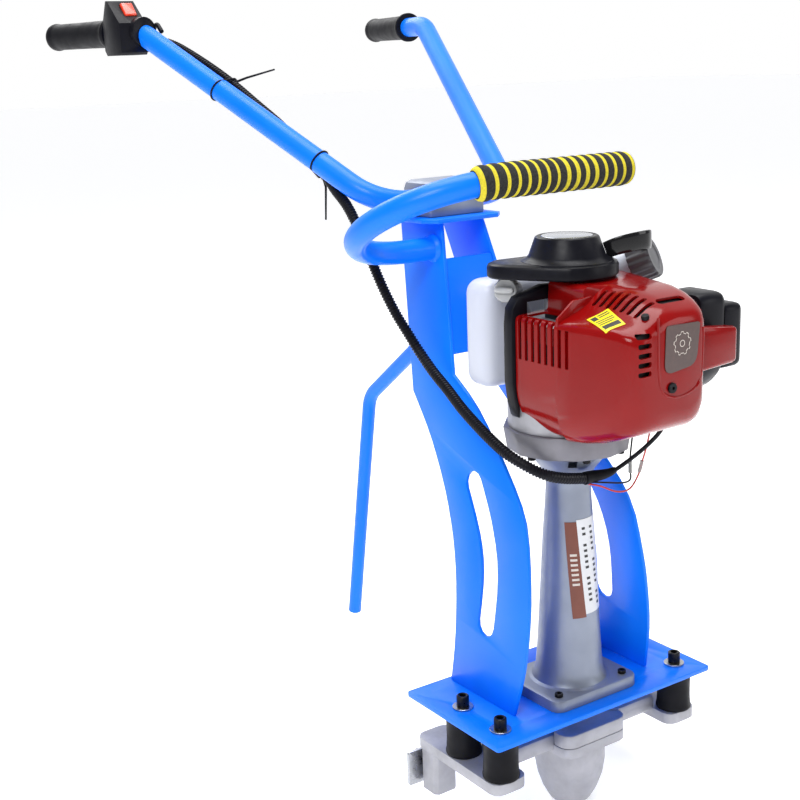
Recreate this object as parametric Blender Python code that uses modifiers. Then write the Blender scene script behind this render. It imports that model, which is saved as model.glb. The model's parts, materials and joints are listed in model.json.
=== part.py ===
"""Power unit of a hand-guided vibrating concrete screed.

A small four-stroke engine with an upright crankshaft stands on a cast column.
The column holds the drive shaft, which spins an eccentric in the exciter
casting under the base plate. Two arched webs carry the handlebar, the carry
handle and the prop stand.

Frame: metres, +Z up, origin at the exciter's flat foot on the drive axis,
+X along the base plate's long edge, -Y the engine's cylinder side and
+Y the operator's side. Places are given by pos(x, y, h) in millimetres, with
h counted from the top face of the base plate.
"""
import math

import bmesh
import bpy
from mathutils import Matrix, Vector

MM = 0.001
GAP = 0.3                      # clearance between touching pieces, mm
FOOT_DEPTH = 136.0             # exciter foot below the plate's top face

PLATE_HALF_X = 147.0
PLATE_FRONT_Y = -63.0
PLATE_REAR_Y = 93.0
PLATE_THICK = 5.0
BOLT_X = 121.5
BOLT_FRONT_Y = -34.5
BOLT_REAR_Y = 27.5
ISOLATOR_RADIUS = 19.0
ISOLATOR_FOOT = -50.0
PAD_TOP = ISOLATOR_FOOT - GAP
PAD_BOTTOM = -62.0

WEB_THICK = 4.0
WEB_TOP = 482.0
WEB_BEND_H = 180.0
WEB_HALF_FOOT = 91.4
WEB_TILT_LOW = 0.106
WEB_TILT_HIGH = 0.150
SLOT_HALF_WIDTH = 13.2
TOP_PLATE_H = WEB_TOP + GAP
TOP_PLATE_THICK = 4.5

TUBE_RADIUS = 12.5
BAR_Y = 200.0
BAR_H = 504.0
LOOP_LOW = (179.0, 454.0)
LOOP_HIGH = (12.0, 538.0)
LOOP_CENTRE_X = -68.0
LOOP_BULGE = 1.11
FOAM_END = 89.0
FOAM_RADIUS = 17.4

STAND_PIVOT = (0.0, 203.0, 372.0)
STAND_RADIUS = 8.3

COLUMN_TOP = 265.7
SHAFT_RADIUS = 6.0
HOUSING_LOW = 266.0
HOUSING_TOP = 290.0
CRANKCASE_LOW = HOUSING_TOP + GAP
CYLINDER_H = 347.0
RECOIL_H = 441.3
CAP_CENTRE = (95.0, -10.0, 446.0)
CAP_AXIS = (0.49, -0.78, 0.38)
OIL_CENTRE = (-52.0, 31.0, 428.0)
OIL_AXIS = (-0.83, -0.53, 0.15)
JAW_BORE = 4.6
JAW_SCREW_H = -92.0
GRIP_BEND = (204.0, 517.0, 695.0)
GRIP_END = (240.0, 689.0, 695.0)
LEVER_PIVOT = (-187.0, 528.0, 694.0)
SWITCH_PIVOT = (-212.0, 527.5, 719.7)
SWITCH_SLOPE = 40.0            # degrees, the housing's sloped face
ROCKER_TILT = 6.0              # degrees from the slope, rear end up


# ---------------------------------------------------------------- helpers

def pos(x, y, h):
    """World place of a point given in millimetres, h above the plate's top."""
    return Vector((x, y, h + FOOT_DEPTH)) * MM


def clear_scene():
    for thing in list(bpy.data.objects):
        bpy.data.objects.remove(thing, do_unlink=True)


def collection(name):
    found = bpy.data.collections.new(name)
    bpy.context.scene.collection.children.link(found)
    return found


def material(name, colour, roughness, metallic=0.0):
    made = bpy.data.materials.new(name)
    made.use_nodes = True
    shader = made.node_tree.nodes["Principled BSDF"]
    shader.inputs["Base Color"].default_value = (*colour, 1.0)
    shader.inputs["Roughness"].default_value = roughness
    shader.inputs["Metallic"].default_value = metallic
    return made


def finish(thing, name, look):
    """Name a mesh object, give it its material and smooth its round faces."""
    thing.name = name
    thing.data.name = name
    thing.data.materials.clear()
    thing.data.materials.append(MATERIALS[look])
    thing.data.shade_smooth()
    thing.data.set_sharp_from_angle(angle=math.radians(35))
    return thing


def from_bmesh(mesh_data):
    bmesh.ops.recalc_face_normals(mesh_data, faces=mesh_data.faces)
    mesh = bpy.data.meshes.new("piece")
    mesh_data.to_mesh(mesh)
    mesh_data.free()
    thing = bpy.data.objects.new("piece", mesh)
    PARTS.objects.link(thing)
    return thing


def block(low, high, bevel=0.0, axis=None, segments=2):
    """Box between two corners; bevels every edge, or those along one axis."""
    a = pos(*low)
    b = pos(*high)
    shape = bmesh.new()
    bmesh.ops.create_cube(shape, size=1.0)
    size = b - a
    middle = (a + b) / 2
    for vert in shape.verts:
        vert.co = Vector([vert.co[i] * size[i] + middle[i] for i in range(3)])
    if bevel:
        edges = list(shape.edges)
        if axis is not None:
            edges = [e for e in edges
                     if abs((e.verts[0].co - e.verts[1].co).normalized()[axis]) > 0.9]
        bmesh.ops.bevel(shape, geom=edges, offset=bevel * MM, segments=segments,
                        profile=0.5, affect="EDGES", clamp_overlap=True)
    return from_bmesh(shape)


def rod(start, end, radius, end_radius=None, sides=24):
    """Straight cylinder or cone between two points."""
    a = pos(*start)
    b = pos(*end)
    shape = bmesh.new()
    if end_radius is None:
        end_radius = radius
    bmesh.ops.create_cone(shape, cap_ends=True, segments=sides, radius1=radius * MM,
                          radius2=end_radius * MM, depth=(b - a).length)
    turn = (b - a).to_track_quat("Z", "Y").to_matrix().to_4x4()
    bmesh.ops.transform(shape, matrix=Matrix.Translation((a + b) / 2) @ turn, verts=shape.verts)
    return from_bmesh(shape)


def turned(profile, base=(0.0, 0.0, 0.0), axis=(0.0, 0.0, 1.0), steps=28, closed=False):
    """Turned piece: profile of (radius, height) run down its outer side."""
    mesh = bpy.data.meshes.new("profile")
    points = [(r * MM, 0.0, h * MM) for r, h in profile]
    edges = [(i, i + 1) for i in range(len(points) - 1)]
    if closed:
        edges.append((len(points) - 1, 0))
    mesh.from_pydata(points, edges, [])
    thing = bpy.data.objects.new("turned", mesh)
    PARTS.objects.link(thing)
    screw = thing.modifiers.new("turn", "SCREW")
    screw.steps = steps
    screw.render_steps = steps
    screw.use_merge_vertices = True
    screw.merge_threshold = 0.00001
    turn = Vector(axis).to_track_quat("Z", "Y").to_matrix().to_4x4()
    thing.matrix_world = Matrix.Translation(pos(*base)) @ turn
    return baked(thing)


def baked(thing):
    """Replace an object by a plain welded mesh of its evaluated shape."""
    bpy.context.view_layer.update()
    seen = thing.evaluated_get(bpy.context.evaluated_depsgraph_get())
    mesh = bpy.data.meshes.new_from_object(seen)
    mesh.transform(thing.matrix_world)
    shape = bmesh.new()
    shape.from_mesh(mesh)
    bmesh.ops.remove_doubles(shape, verts=shape.verts, dist=0.000002)
    bpy.data.meshes.remove(mesh)
    bpy.data.objects.remove(thing, do_unlink=True)
    return from_bmesh(shape)


def combine(base, operation, *tools):
    """Join or cut a mesh with other meshes, which are used up."""
    for tool in tools:
        change = base.modifiers.new(operation.lower(), "BOOLEAN")
        change.operation = operation
        change.solver = "EXACT"
        change.object = tool
        base_new = baked_keep(base)
        bpy.data.objects.remove(tool, do_unlink=True)
        base = base_new
    return base


def baked_keep(thing):
    bpy.context.view_layer.update()
    seen = thing.evaluated_get(bpy.context.evaluated_depsgraph_get())
    mesh = bpy.data.meshes.new_from_object(seen)
    mesh.transform(thing.matrix_world)
    bpy.data.objects.remove(thing, do_unlink=True)
    joined = bpy.data.objects.new("piece", mesh)
    PARTS.objects.link(joined)
    return joined


def smooth(points, steps=4):
    """Catmull-Rom curve through the points."""
    found = []
    last = len(points) - 1
    for i in range(last):
        a = Vector(points[max(i - 1, 0)])
        b = Vector(points[i])
        c = Vector(points[i + 1])
        d = Vector(points[min(i + 2, last)])
        for k in range(steps):
            t = k / steps
            found.append(0.5 * (2 * b + (c - a) * t + (2 * a - 5 * b + 4 * c - d) * t * t
                                + (3 * b - a - 3 * c + d) * t ** 3))
    found.append(Vector(points[last]))
    return found


def evenly(points, spacing):
    """Points at an even spacing along a polyline."""
    lengths = [0.0]
    for a, b in zip(points, points[1:]):
        lengths.append(lengths[-1] + (b - a).length)
    count = max(2, round(lengths[-1] / spacing))
    found = []
    k = 0
    for i in range(count + 1):
        goal = lengths[-1] * i / count
        while k < len(points) - 2 and lengths[k + 1] < goal:
            k += 1
        share = (goal - lengths[k]) / (lengths[k + 1] - lengths[k])
        found.append(points[k].lerp(points[k + 1], min(share, 1.0)))
    return found


def tube(points, radius, resolution=2):
    """Round bar along a list of places in millimetres."""
    curve = bpy.data.curves.new("tube", "CURVE")
    curve.dimensions = "3D"
    curve.bevel_depth = radius * MM
    curve.bevel_resolution = resolution
    curve.use_fill_caps = True
    spline = curve.splines.new("POLY")
    spline.points.add(len(points) - 1)
    for point, place in zip(spline.points, points):
        point.co = (*pos(*place), 1.0)
    thing = bpy.data.objects.new("tube", curve)
    PARTS.objects.link(thing)
    return baked(thing)


def rounded(points, radius, steps=5):
    """Polyline whose inner corners are rounded to the given radius."""
    found = [Vector(points[0])]
    for a, b, c in zip(points, points[1:], points[2:]):
        a, b, c = Vector(a), Vector(b), Vector(c)
        back = (a - b).normalized()
        ahead = (c - b).normalized()
        half = back.angle(ahead) / 2
        reach = radius / math.tan(half)
        centre = b + (back + ahead).normalized() * (radius / math.sin(half))
        start = b + back * reach - centre
        end = b + ahead * reach - centre
        sweep = start.angle(end)
        for k in range(steps + 1):
            share = k / steps
            spoke = start * math.sin((1 - share) * sweep) + end * math.sin(share * sweep)
            found.append(centre + spoke / math.sin(sweep))
    found.append(Vector(points[-1]))
    return found


def slab(outline, low, high, bevel=0.0):
    """Flat outline of (x, y) points raised from low to high."""
    curve = bpy.data.curves.new("outline", "CURVE")
    curve.dimensions = "2D"
    curve.fill_mode = "BOTH"
    curve.extrude = (high - low) * MM / 2 - bevel * MM
    curve.bevel_depth = bevel * MM
    curve.bevel_resolution = 1
    curve.offset = -bevel * MM
    spline = curve.splines.new("POLY")
    spline.points.add(len(outline) - 1)
    for point, place in zip(spline.points, outline):
        point.co = (place[0] * MM, place[1] * MM, 0.0, 1.0)
    spline.use_cyclic_u = True
    thing = bpy.data.objects.new("slab", curve)
    PARTS.objects.link(thing)
    thing.location = (0.0, 0.0, (FOOT_DEPTH + (low + high) / 2) * MM)
    return baked(thing)


def arc(cx, cy, radius, start, end, steps=8):
    """Points on an arc, angles in degrees."""
    found = []
    for k in range(steps + 1):
        angle = math.radians(start + (end - start) * k / steps)
        found.append((cx + radius * math.cos(angle), cy + radius * math.sin(angle)))
    return found


def cut_flat(thing, place, normal):
    """Cut a mesh with a plane, keep the side behind its normal and close it."""
    shape = bmesh.new()
    shape.from_mesh(thing.data)
    everything = shape.verts[:] + shape.edges[:] + shape.faces[:]
    bmesh.ops.bisect_plane(shape, geom=everything, plane_co=place, plane_no=normal, clear_outer=True)
    rim = [edge for edge in shape.edges if edge.is_boundary]
    bmesh.ops.contextual_create(shape, geom=rim)
    bpy.data.objects.remove(thing, do_unlink=True)
    return from_bmesh(shape)


def joint_at(name, place):
    """Empty on a joint's axis, to carry the pieces that turn or slide there."""
    empty = bpy.data.objects.new(name, None)
    empty.empty_display_size = 0.02
    empty.location = pos(*place)
    PARTS.objects.link(empty)
    return empty


def carry(empty, *things):
    bpy.context.view_layer.update()
    for thing in things:
        thing.parent = empty
        thing.matrix_parent_inverse = empty.matrix_world.inverted()


# ---------------------------------------------------------------- exciter

def exciter_casting():
    base = block((-43, -46, -58), (43, 46, -47.3), 13, 2, 3)
    bowl = turned([(0, -50), (38, -50), (38, -84), (35.5, -100), (30, -116), (23, -129),
                   (16, -FOOT_DEPTH), (0, -FOOT_DEPTH)])
    base = combine(base, "UNION", bowl)
    for side in (-1, 1):
        x = sorted((side * 99, side * 141))
        bar = block((x[0], -51, PAD_BOTTOM), (x[1], 88, PAD_TOP), 11, 2, 3)
        x = sorted((side * 107, side * 136))
        lug = block((x[0], 60, -113), (x[1], 87.6, -55), 4, 2, 1)
        x = sorted((side * 34, side * 101.2))
        bridge = block((x[0], -24, -55), (x[1], 24, -36), 5, 0, 2)
        base = combine(base, "UNION", bar, lug, bridge)
        bore = rod((side * BOLT_X, 66, JAW_SCREW_H), (side * BOLT_X, 92, JAW_SCREW_H),
                   JAW_BORE, sides=16)
        base = combine(base, "DIFFERENCE", bore)
    pocket = turned([(0, -30), (31, -30), (31, -95), (24, -108), (13.3, -108), (13.3, -120), (0, -120)])
    base = combine(base, "DIFFERENCE", pocket)
    return finish(base, "exciter_casting", "cast")


def exciter_cover():
    lid = block((-43, -46, -47), (43, 46, -32), 13, 2, 3)
    lid = combine(lid, "DIFFERENCE", rod((0, 0, -60), (0, 0, -20), 14))
    # room for the bridges of the casting, which rise past the lid's ends
    for side in (-1, 1):
        x = sorted((side * (34 - GAP), side * 60))
        lid = combine(lid, "DIFFERENCE", block((x[0], -24 - GAP, -60), (x[1], 24 + GAP, -30)))
    return finish(lid, "exciter_cover", "cast")


def eccentric():
    shaft = turned([(0, -44), (SHAFT_RADIUS, -44), (SHAFT_RADIUS, -119.4), (0, -119.4)], steps=20)
    weight = rod((0, 0, -94), (0, 0, -60), 24)
    weight = combine(weight, "DIFFERENCE", block((-30, 5, -100), (30, 40, -50)))
    piece = finish(combine(shaft, "UNION", weight), "eccentric_shaft", "steel")
    bearing = turned([(13, -109), (13, -119.7), (6.7, -119.7), (6.7, -109)], steps=20, closed=True)
    finish(bearing, "exciter_bearing", "steel")
    carry(joint_at("eccentric_axis", (0, 0, -80)), piece)


def clamp(side, word):
    x = side * BOLT_X
    edges = sorted((x - side * 26.5, x + side * 26.5))
    jaw = block((edges[0], 92.6, -112), (edges[1], 96.6, -73), 2, 1, 2)
    hole = rod((x, 80, JAW_SCREW_H), (x, 105, JAW_SCREW_H), JAW_BORE, sides=16)
    jaw = finish(combine(jaw, "DIFFERENCE", hole), "clamp_jaw_" + word, "steel")
    screw = rod((x, 70, JAW_SCREW_H), (x, 109, JAW_SCREW_H), 4, sides=16)
    head = rod((x, 108, JAW_SCREW_H), (x, 116, JAW_SCREW_H), 7, sides=6)
    screw = finish(combine(screw, "UNION", head), "clamp_screw_" + word, "black_steel")
    carry(joint_at("clamp_slide_" + word, (x, 94.6, JAW_SCREW_H)), jaw)
    carry(joint_at("clamp_turn_" + word, (x, 94.6, JAW_SCREW_H)), screw)


def isolator(x, y, word):
    body = rod((x, y, ISOLATOR_FOOT), (x, y, -PLATE_THICK - GAP), ISOLATOR_RADIUS)
    finish(body, "isolator_" + word, "rubber")
    bolt = turned([(0, 14), (5.6, 14), (6.6, 13), (6.6, 1.9), (11, 1.9), (11, GAP), (3.6, GAP),
                   (3.6, -4.7), (0, -4.7)], (x, y, 0), steps=16)
    finish(bolt, "isolator_bolt_" + word, "black_steel")


# ---------------------------------------------------------------- frame

def web_x(h):
    """Half distance between the webs' middle planes at a height."""
    bent = max(0.0, h - WEB_BEND_H)
    return WEB_HALF_FOOT - WEB_TILT_LOW * min(h, WEB_BEND_H) - WEB_TILT_HIGH * bent


def web_front(h):
    """Front edge of the webs' straight upper part."""
    return 124.0 + (h - 326.0) * (170.0 - 124.0) / (WEB_TOP - 326.0)


def base_plate():
    plate = block((-PLATE_HALF_X, PLATE_FRONT_Y, -PLATE_THICK), (PLATE_HALF_X, PLATE_REAR_Y, 0), 3, 2, 2)
    for x in (-BOLT_X, BOLT_X):
        for y in (BOLT_FRONT_Y, BOLT_REAR_Y):
            plate = combine(plate, "DIFFERENCE", rod((x, y, -20), (x, y, 20), 4.2, sides=16))
    plate = combine(plate, "DIFFERENCE", rod((0, 0, -20), (0, 0, 20), 24))
    return finish(plate, "base_plate", "blue")


def web_outline():
    front = smooth([(-21, GAP), (-31, 50), (-33, 92), (-30, 138), (-16, 199), (23, 247), (78, 298),
                    (124, 326)], 3)
    rear = smooth([(193, 297), (150, 250), (110, 187), (91, 126), (84, 55), (86, GAP)])
    return front + [Vector((170, WEB_TOP)), Vector((246, WEB_TOP))] + rear


def slot_outline():
    middle = smooth([(34, 80), (32, 118), (35, 149), (44, 176), (56, 198), (71, 221)], 2)
    left, right = [], []
    for i, point in enumerate(middle):
        along = middle[min(i + 1, len(middle) - 1)] - middle[max(i - 1, 0)]
        across = Vector((-along.y, along.x)).normalized() * SLOT_HALF_WIDTH
        left.append(point + across)
        right.append(point - across)
    caps = []
    for point, first in ((middle[-1], right[-1]), (middle[0], left[0])):
        spoke = first - point
        turn = [Matrix.Rotation(math.radians(30 * k), 2) for k in range(1, 6)]
        caps.append([point + matrix @ spoke for matrix in turn])
    return right + caps[0] + left[::-1] + caps[1]


def side_sheet(outline, thick):
    """Sheet standing in the Y-H plane, its middle plane at X = 0."""
    thing = slab(outline, -thick / 2, thick / 2)
    turn = Matrix(((0, 0, 1, 0), (1, 0, 0, 0), (0, 1, 0, 0), (0, 0, 0, 1)))
    drop = Matrix.Translation((0, 0, -FOOT_DEPTH * MM))
    raise_up = Matrix.Translation((0, 0, FOOT_DEPTH * MM))
    thing.data.transform(raise_up @ turn @ drop)
    return thing


def web(side, word):
    sheet = side_sheet(web_outline(), WEB_THICK)
    sheet = combine(sheet, "DIFFERENCE", side_sheet(slot_outline(), WEB_THICK * 3))
    shape = bmesh.new()
    shape.from_mesh(sheet.data)
    everything = shape.verts[:] + shape.edges[:] + shape.faces[:]
    bmesh.ops.bisect_plane(shape, geom=everything, plane_co=pos(0, 0, WEB_BEND_H), plane_no=(0, 0, 1))
    for vert in shape.verts:
        h = vert.co.z / MM - FOOT_DEPTH
        vert.co.x += side * web_x(h) * MM
    shape.to_mesh(sheet.data)
    shape.free()
    return finish(sheet, "web_" + word, "blue")


def cross_plate():
    low, high, thick = 346.0, 444.0, 4.0
    shape = bmesh.new()
    bmesh.ops.create_cube(shape, size=1.0)
    for vert in shape.verts:
        h = high if vert.co.z > 0 else low
        x = web_x(h) - WEB_THICK / 2 - 2 * GAP
        y = web_front(h) + (thick + 1 if vert.co.y > 0 else 1)
        vert.co = pos(x if vert.co.x > 0 else -x, y, h)
    return finish(from_bmesh(shape), "front_cross_plate", "blue")


def top_plate():
    outline = [(-52, 172), (-40, 158), (40, 158), (52, 170), (52, 240), (40, 254), (-40, 254), (-52, 242)]
    plate = slab(outline, TOP_PLATE_H, TOP_PLATE_H + TOP_PLATE_THICK)
    return finish(plate, "top_plate", "blue")


def loop_point(angle):
    """Place on the loop's bend, 0 at its lower leg and pi at its upper leg."""
    low = Vector((0, *LOOP_LOW))
    high = Vector((0, *LOOP_HIGH))
    half = (high - low) / 2
    bulge = LOOP_CENTRE_X - half.length * LOOP_BULGE * math.sin(angle)
    return (low + high) / 2 - half * math.cos(angle) + Vector((bulge, 0, 0))


def loop_path(end_x):
    bend = [loop_point(math.pi * k / 14) for k in range(15)]
    return [Vector((-20, *LOOP_LOW))] + bend + [Vector((end_x, *LOOP_HIGH))]


def loop_handle():
    bar = tube(loop_path(FOAM_END - 6), TUBE_RADIUS, 3)
    edge = WEB_THICK / 2 + GAP
    bar = cut_flat(bar, pos(-web_x(LOOP_LOW[1]) - edge, *LOOP_LOW), (1, 0, WEB_TILT_HIGH * -1))
    finish(bar, "loop_handle", "blue")
    bend = [loop_point(math.pi * (1 - 0.1 + 0.1 * k / 4)) for k in range(5)]
    foam = tube(bend + [Vector((FOAM_END, *LOOP_HIGH))], FOAM_RADIUS, 5)
    bore = tube(loop_path(FOAM_END - 5.5), TUBE_RADIUS + GAP, 3)
    finish(combine(foam, "DIFFERENCE", bore), "foam_grip", "foam")


def stand():
    x, y, h = STAND_PIVOT
    reach = web_x(h) - WEB_THICK / 2 - 2.2
    finish(rod((-reach, y, h), (reach, y, h), 7.5), "stand_pivot_bar", "blue")
    leg = tube(rounded([(0, y + 4, h - 4), (0, 371, 248), (0, 431, -59)], 40), STAND_RADIUS, 2)
    eye = rod((-12, y, h), (12, y, h), 12.5)
    leg = combine(eye, "UNION", leg)
    leg = combine(leg, "DIFFERENCE", rod((-20, y, h), (20, y, h), 8.2))
    leg = finish(leg, "kickstand", "blue")
    carry(joint_at("stand_hinge", STAND_PIVOT), leg)


# ---------------------------------------------------------------- column

def column():
    foot = block((-57, -47, GAP), (57, 47, 12), 12, 2, 3)
    post = turned([(0, COLUMN_TOP), (41, COLUMN_TOP), (41, 261), (33, 250), (26, 241), (23.2, 231),
                   (24, 208), (26.5, 175), (29, 130), (31.5, 85), (34.5, 36), (36, 22), (40.5, 12.5),
                   (40.5, 6), (0, 6)])
    post = combine(foot, "UNION", post)
    bore = turned([(0, 270), (14.4, 270), (14.4, 245.6), (12, 245.6), (12, -10), (0, -10)], steps=24)
    post = combine(post, "DIFFERENCE", bore)
    window = block((-4, -60, 252), (4, -20, 259))
    window.data.transform(Matrix.Rotation(math.radians(-34), 4, "Z"))
    post = combine(post, "DIFFERENCE", window)
    finish(post, "column", "silver")
    bearing = turned([(14.1, 256), (14.1, 246), (6.7, 246), (6.7, 256)], steps=20, closed=True)
    finish(bearing, "shaft_bearing", "steel")


def clutch_housing():
    ring = rod((0, 0, HOUSING_LOW), (0, 0, HOUSING_TOP), 62.5, 66.5, sides=12)
    ring = combine(ring, "DIFFERENCE", rod((0, 0, 250), (0, 0, 300), 43.5, sides=28))
    return finish(ring, "clutch_housing", "dark_cast")


def drive_line():
    shaft = turned([(0, 276), (SHAFT_RADIUS, 276), (SHAFT_RADIUS, -32), (8.5, -32), (8.5, -39.5),
                    (0, -39.5)], steps=20)
    shaft = finish(shaft, "drive_shaft", "steel")
    drum = turned([(40, 286), (40, 270), (6.3, 270), (6.3, 272.5), (37.5, 272.5), (37.5, 286)],
                  closed=True)
    drum = finish(drum, "clutch_drum", "steel")
    carry(joint_at("drive_axis", (0, 0, 100)), shaft, drum)


# ---------------------------------------------------------------- engine

def rotor():
    crank = turned([(0, 416), (7, 416), (7, 350), (22, 350), (22, 332), (9, 332), (9, 289.5),
                    (14.5, 289.5), (14.5, 279), (0, 279)], steps=20)
    crank = finish(crank, "crankshaft", "steel")
    wheel = turned([(44, 312), (44, 295), (9.3, 295), (9.3, 306), (30, 306), (34, 312)], closed=True)
    wheel = finish(wheel, "flywheel", "cast")
    shoes = turned([(35, 285), (35, 275), (14.8, 275), (14.8, 285)], closed=True)
    shoes = finish(shoes, "clutch_shoes", "black_steel")
    carry(joint_at("crank_axis", (0, 0, 345)), crank, wheel, shoes)


def crankcase():
    case = turned([(0, 418), (23, 418), (23, 402), (47, 399), (50, 396), (50, 330), (61, 322),
                   (61, CRANKCASE_LOW), (0, CRANKCASE_LOW)])
    boss = block((-27, -61.5, 318), (27, -30, 372))
    axis = Vector(OIL_AXIS).normalized()
    seat = Vector(OIL_CENTRE) - axis * (7 + GAP)
    neck = rod((-27, 27, 392), tuple(seat - axis * 10), 8, sides=16)
    spout = rod(tuple(seat - axis * 15), tuple(seat), 10, sides=16)
    case = combine(case, "UNION", boss, neck, spout)
    bore = turned([(0, 440), (8.5, 440), (8.5, 356), (25, 356), (25, 318), (46, 318), (46, 280), (0, 280)],
                  steps=24)
    return finish(combine(case, "DIFFERENCE", bore), "crankcase", "cast")


def cylinder():
    profile = [(0, 72)]
    for k in range(6):
        top = 72 - k * 12
        profile += [(21.5, top), (21.5, top - 5), (16, top - 5), (16, top - 12)]
    profile = profile[:-1] + [(16, 0.0), (0, 0.0)]
    piece = turned(profile, (0, -61.8, CYLINDER_H), (0, -1, 0), 16)
    return finish(piece, "cylinder", "cast")


def rear_section(left, right, low, wall, top):
    """Cover behind the fin: an upright wall stands on a low shoulder."""
    return [(left + 16, low), (left, low + 32), (left, 404), (left + 5, 409), (wall, 410),
            (wall + 1, top - 5), (wall + 7, top), (right - 12, top), (right, top - 12),
            (right, low + 10), (right - 12, low)]


def front_section(left, right, low, shoulder, top, soft):
    """Cover before the fin: one slope rises from the left edge to the top."""
    rise = top - shoulder
    return [(left + soft, low), (left, low + 1.8 * soft), (left, shoulder - 5), (left + 5, shoulder),
            (-30, shoulder + 0.42 * rise), (-14, shoulder + 0.85 * rise), (-2, top), (right - 12, top),
            (right, top - 12), (right, low + soft), (right - soft, low)]


def engine_cover():
    """Thin cover over the cylinder, open at the rear and round the crankcase."""
    stations = [
        (-2, rear_section(-68, 71, 290.6, -27, 440)),
        (-57, rear_section(-66, 62, 290.6, -31, 438)),
        (-61, front_section(-66, 61, 290.8, 409, 437.5, 11)),
        (-97, front_section(-61, 54, 296, 409, 436.5, 12)),
        (-130, front_section(-55, 47, 308, 407, 428, 13)),
        (-143, front_section(-50, 42, 317, 403, 421, 16)),
        (-148, front_section(-42, 34, 331, 398, 412, 18)),
    ]
    shape = bmesh.new()
    rings = [[shape.verts.new(pos(x, y, h)) for x, h in ring] for y, ring in stations]
    for near, far in zip(rings, rings[1:]):
        for i in range(len(near)):
            k = (i + 1) % len(near)
            shape.faces.new((near[i], near[k], far[k], far[i]))
    shape.faces.new(rings[-1])
    cover = from_bmesh(shape)
    shell = cover.modifiers.new("wall", "SOLIDIFY")
    shell.thickness = 2.5 * MM
    shell.offset = -1
    cover = baked(cover)
    cuts = [rod((0, 0, 270), (0, 0, 332), 61.6, sides=32), block((48, -96, 329), (90, -54, 372)),
            block((28, -106, 280), (60, -50, 325)), block((-61, -52, 400), (-34, -8, 420))]
    for k in range(6):
        y = -9 - k * 8.6
        cuts.append(block((-80, y - 2.1, 367), (-62, y + 2.1, 420)))
    for k in range(5):
        h = 362 + k * 9
        cuts.append(block((-46, -170, h), (-35, -130, h + 5)))
    cover = combine(cover, "DIFFERENCE", *cuts)
    return finish(cover, "engine_cover", "red")


def shroud_plate():
    """Black surround that closes the cover's rear edge."""
    outline = [(62.5, 296), (72, 298), (74, 310), (74, 404), (58, 432), (-27, 434), (-62, 426), (-70, 416),
               (-72, 400), (-72, 342), (-69, 322), (-65, 308), (-62.5, 305), (-62.5, 326), (-51.5, 330),
               (-51.5, 420),
               (51.5, 420), (51.5, 330), (62.5, 326)]
    plate = slab(outline, -6.2, 6.2)
    turn = Matrix(((1, 0, 0, 0), (0, 0, -1, 0), (0, 1, 0, 0), (0, 0, 0, 1)))
    drop = Matrix.Translation((0, 0, -FOOT_DEPTH * MM))
    plate.data.transform(Matrix.Translation(pos(0, 5.6, 0)) @ turn @ drop)
    return finish(plate, "shroud_plate", "black_plastic")


def recoil_housing():
    brim = arc(0, 2, 52, -130, 75, 14) + arc(-44, 30, 26, 95, 215, 8)
    brim = slab(brim, RECOIL_H, 455)
    dome = turned([(0, 480), (30, 480), (32.5, 477), (38, 461), (45, 454), (45, 448), (0, 448)])
    return finish(combine(brim, "UNION", dome), "recoil_housing", "black_plastic")


def starter_handle():
    grip = tube(smooth([(41, -25, 467), (52, -28, 470), (66, -30, 470.5), (80, -31, 468.5)], 3), 7.5, 3)
    grip = finish(grip, "starter_handle", "black_plastic")
    carry(joint_at("starter_slide", (58, -28, 470)), grip)


def fuel_system():
    tank = block((-60, 54, 322), (118, 96, 434), 14, None, 2)
    lobe = block((64, 17, 348), (118, 66, 424), 9, None, 2)
    axis = Vector(CAP_AXIS).normalized()
    seat = Vector(CAP_CENTRE) - axis * (12 + GAP)
    neck = rod(tuple(seat - axis * 38), tuple(seat), 15, sides=20)
    tank = combine(tank, "UNION", lobe, neck)
    finish(tank, "fuel_tank", "tank")
    cap = turned([(0, 12), (20, 12), (22, 10), (22, -10), (20, -12), (0, -12)], CAP_CENTRE, axis, 20)
    cap = finish(cap, "fuel_cap", "grey_plastic")
    carry(joint_at("fuel_cap_axis", CAP_CENTRE), cap)


def oil_cap():
    axis = Vector(OIL_AXIS).normalized()
    centre = Vector(OIL_CENTRE)
    cap = turned([(0, 5), (11.5, 5), (12.5, 3.5), (12.5, -7), (0, -7)], OIL_CENTRE, axis, 20)
    across = axis.cross(Vector((0, 0, 1))).normalized()
    wing = rod(tuple(centre + axis * 8 - across * 9), tuple(centre + axis * 8 + across * 9), 4, sides=8)
    cap = finish(combine(cap, "UNION", wing), "oil_cap", "light_plastic")
    carry(joint_at("oil_cap_axis", OIL_CENTRE), cap)


def intake():
    carb = block((30, -89, 336), (83.7, -60, 365), 3, 0, 1)
    finish(carb, "carburettor", "cast")
    arm = block((46, -84, 330.5), (53, -58, 333.5), 1.5, 2, 1)
    pin = rod((49.5, -76, 329.5), (49.5, -76, 335.7), 2.5, sides=12)
    arm = finish(combine(arm, "UNION", pin), "throttle_arm", "steel")
    carry(joint_at("throttle_arm_axis", (49.5, -76, 332)), arm)
    case = block((84, -100, 320), (118.7, -46, 422), 10, None, 2)
    finish(case, "air_cleaner_case", "black_plastic")
    cover = block((119, -99, 342), (144, -47, 408), 8, None, 2)
    cover = finish(cover, "air_cleaner_cover", "black_plastic")
    carry(joint_at("air_cleaner_hinge", (119, -73, 342)), cover)
    finish(block((-50, -92, 342), (-36, -60, 390), 3, None, 1), "muffler", "black_steel")


# ---------------------------------------------------------------- handlebar

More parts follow.
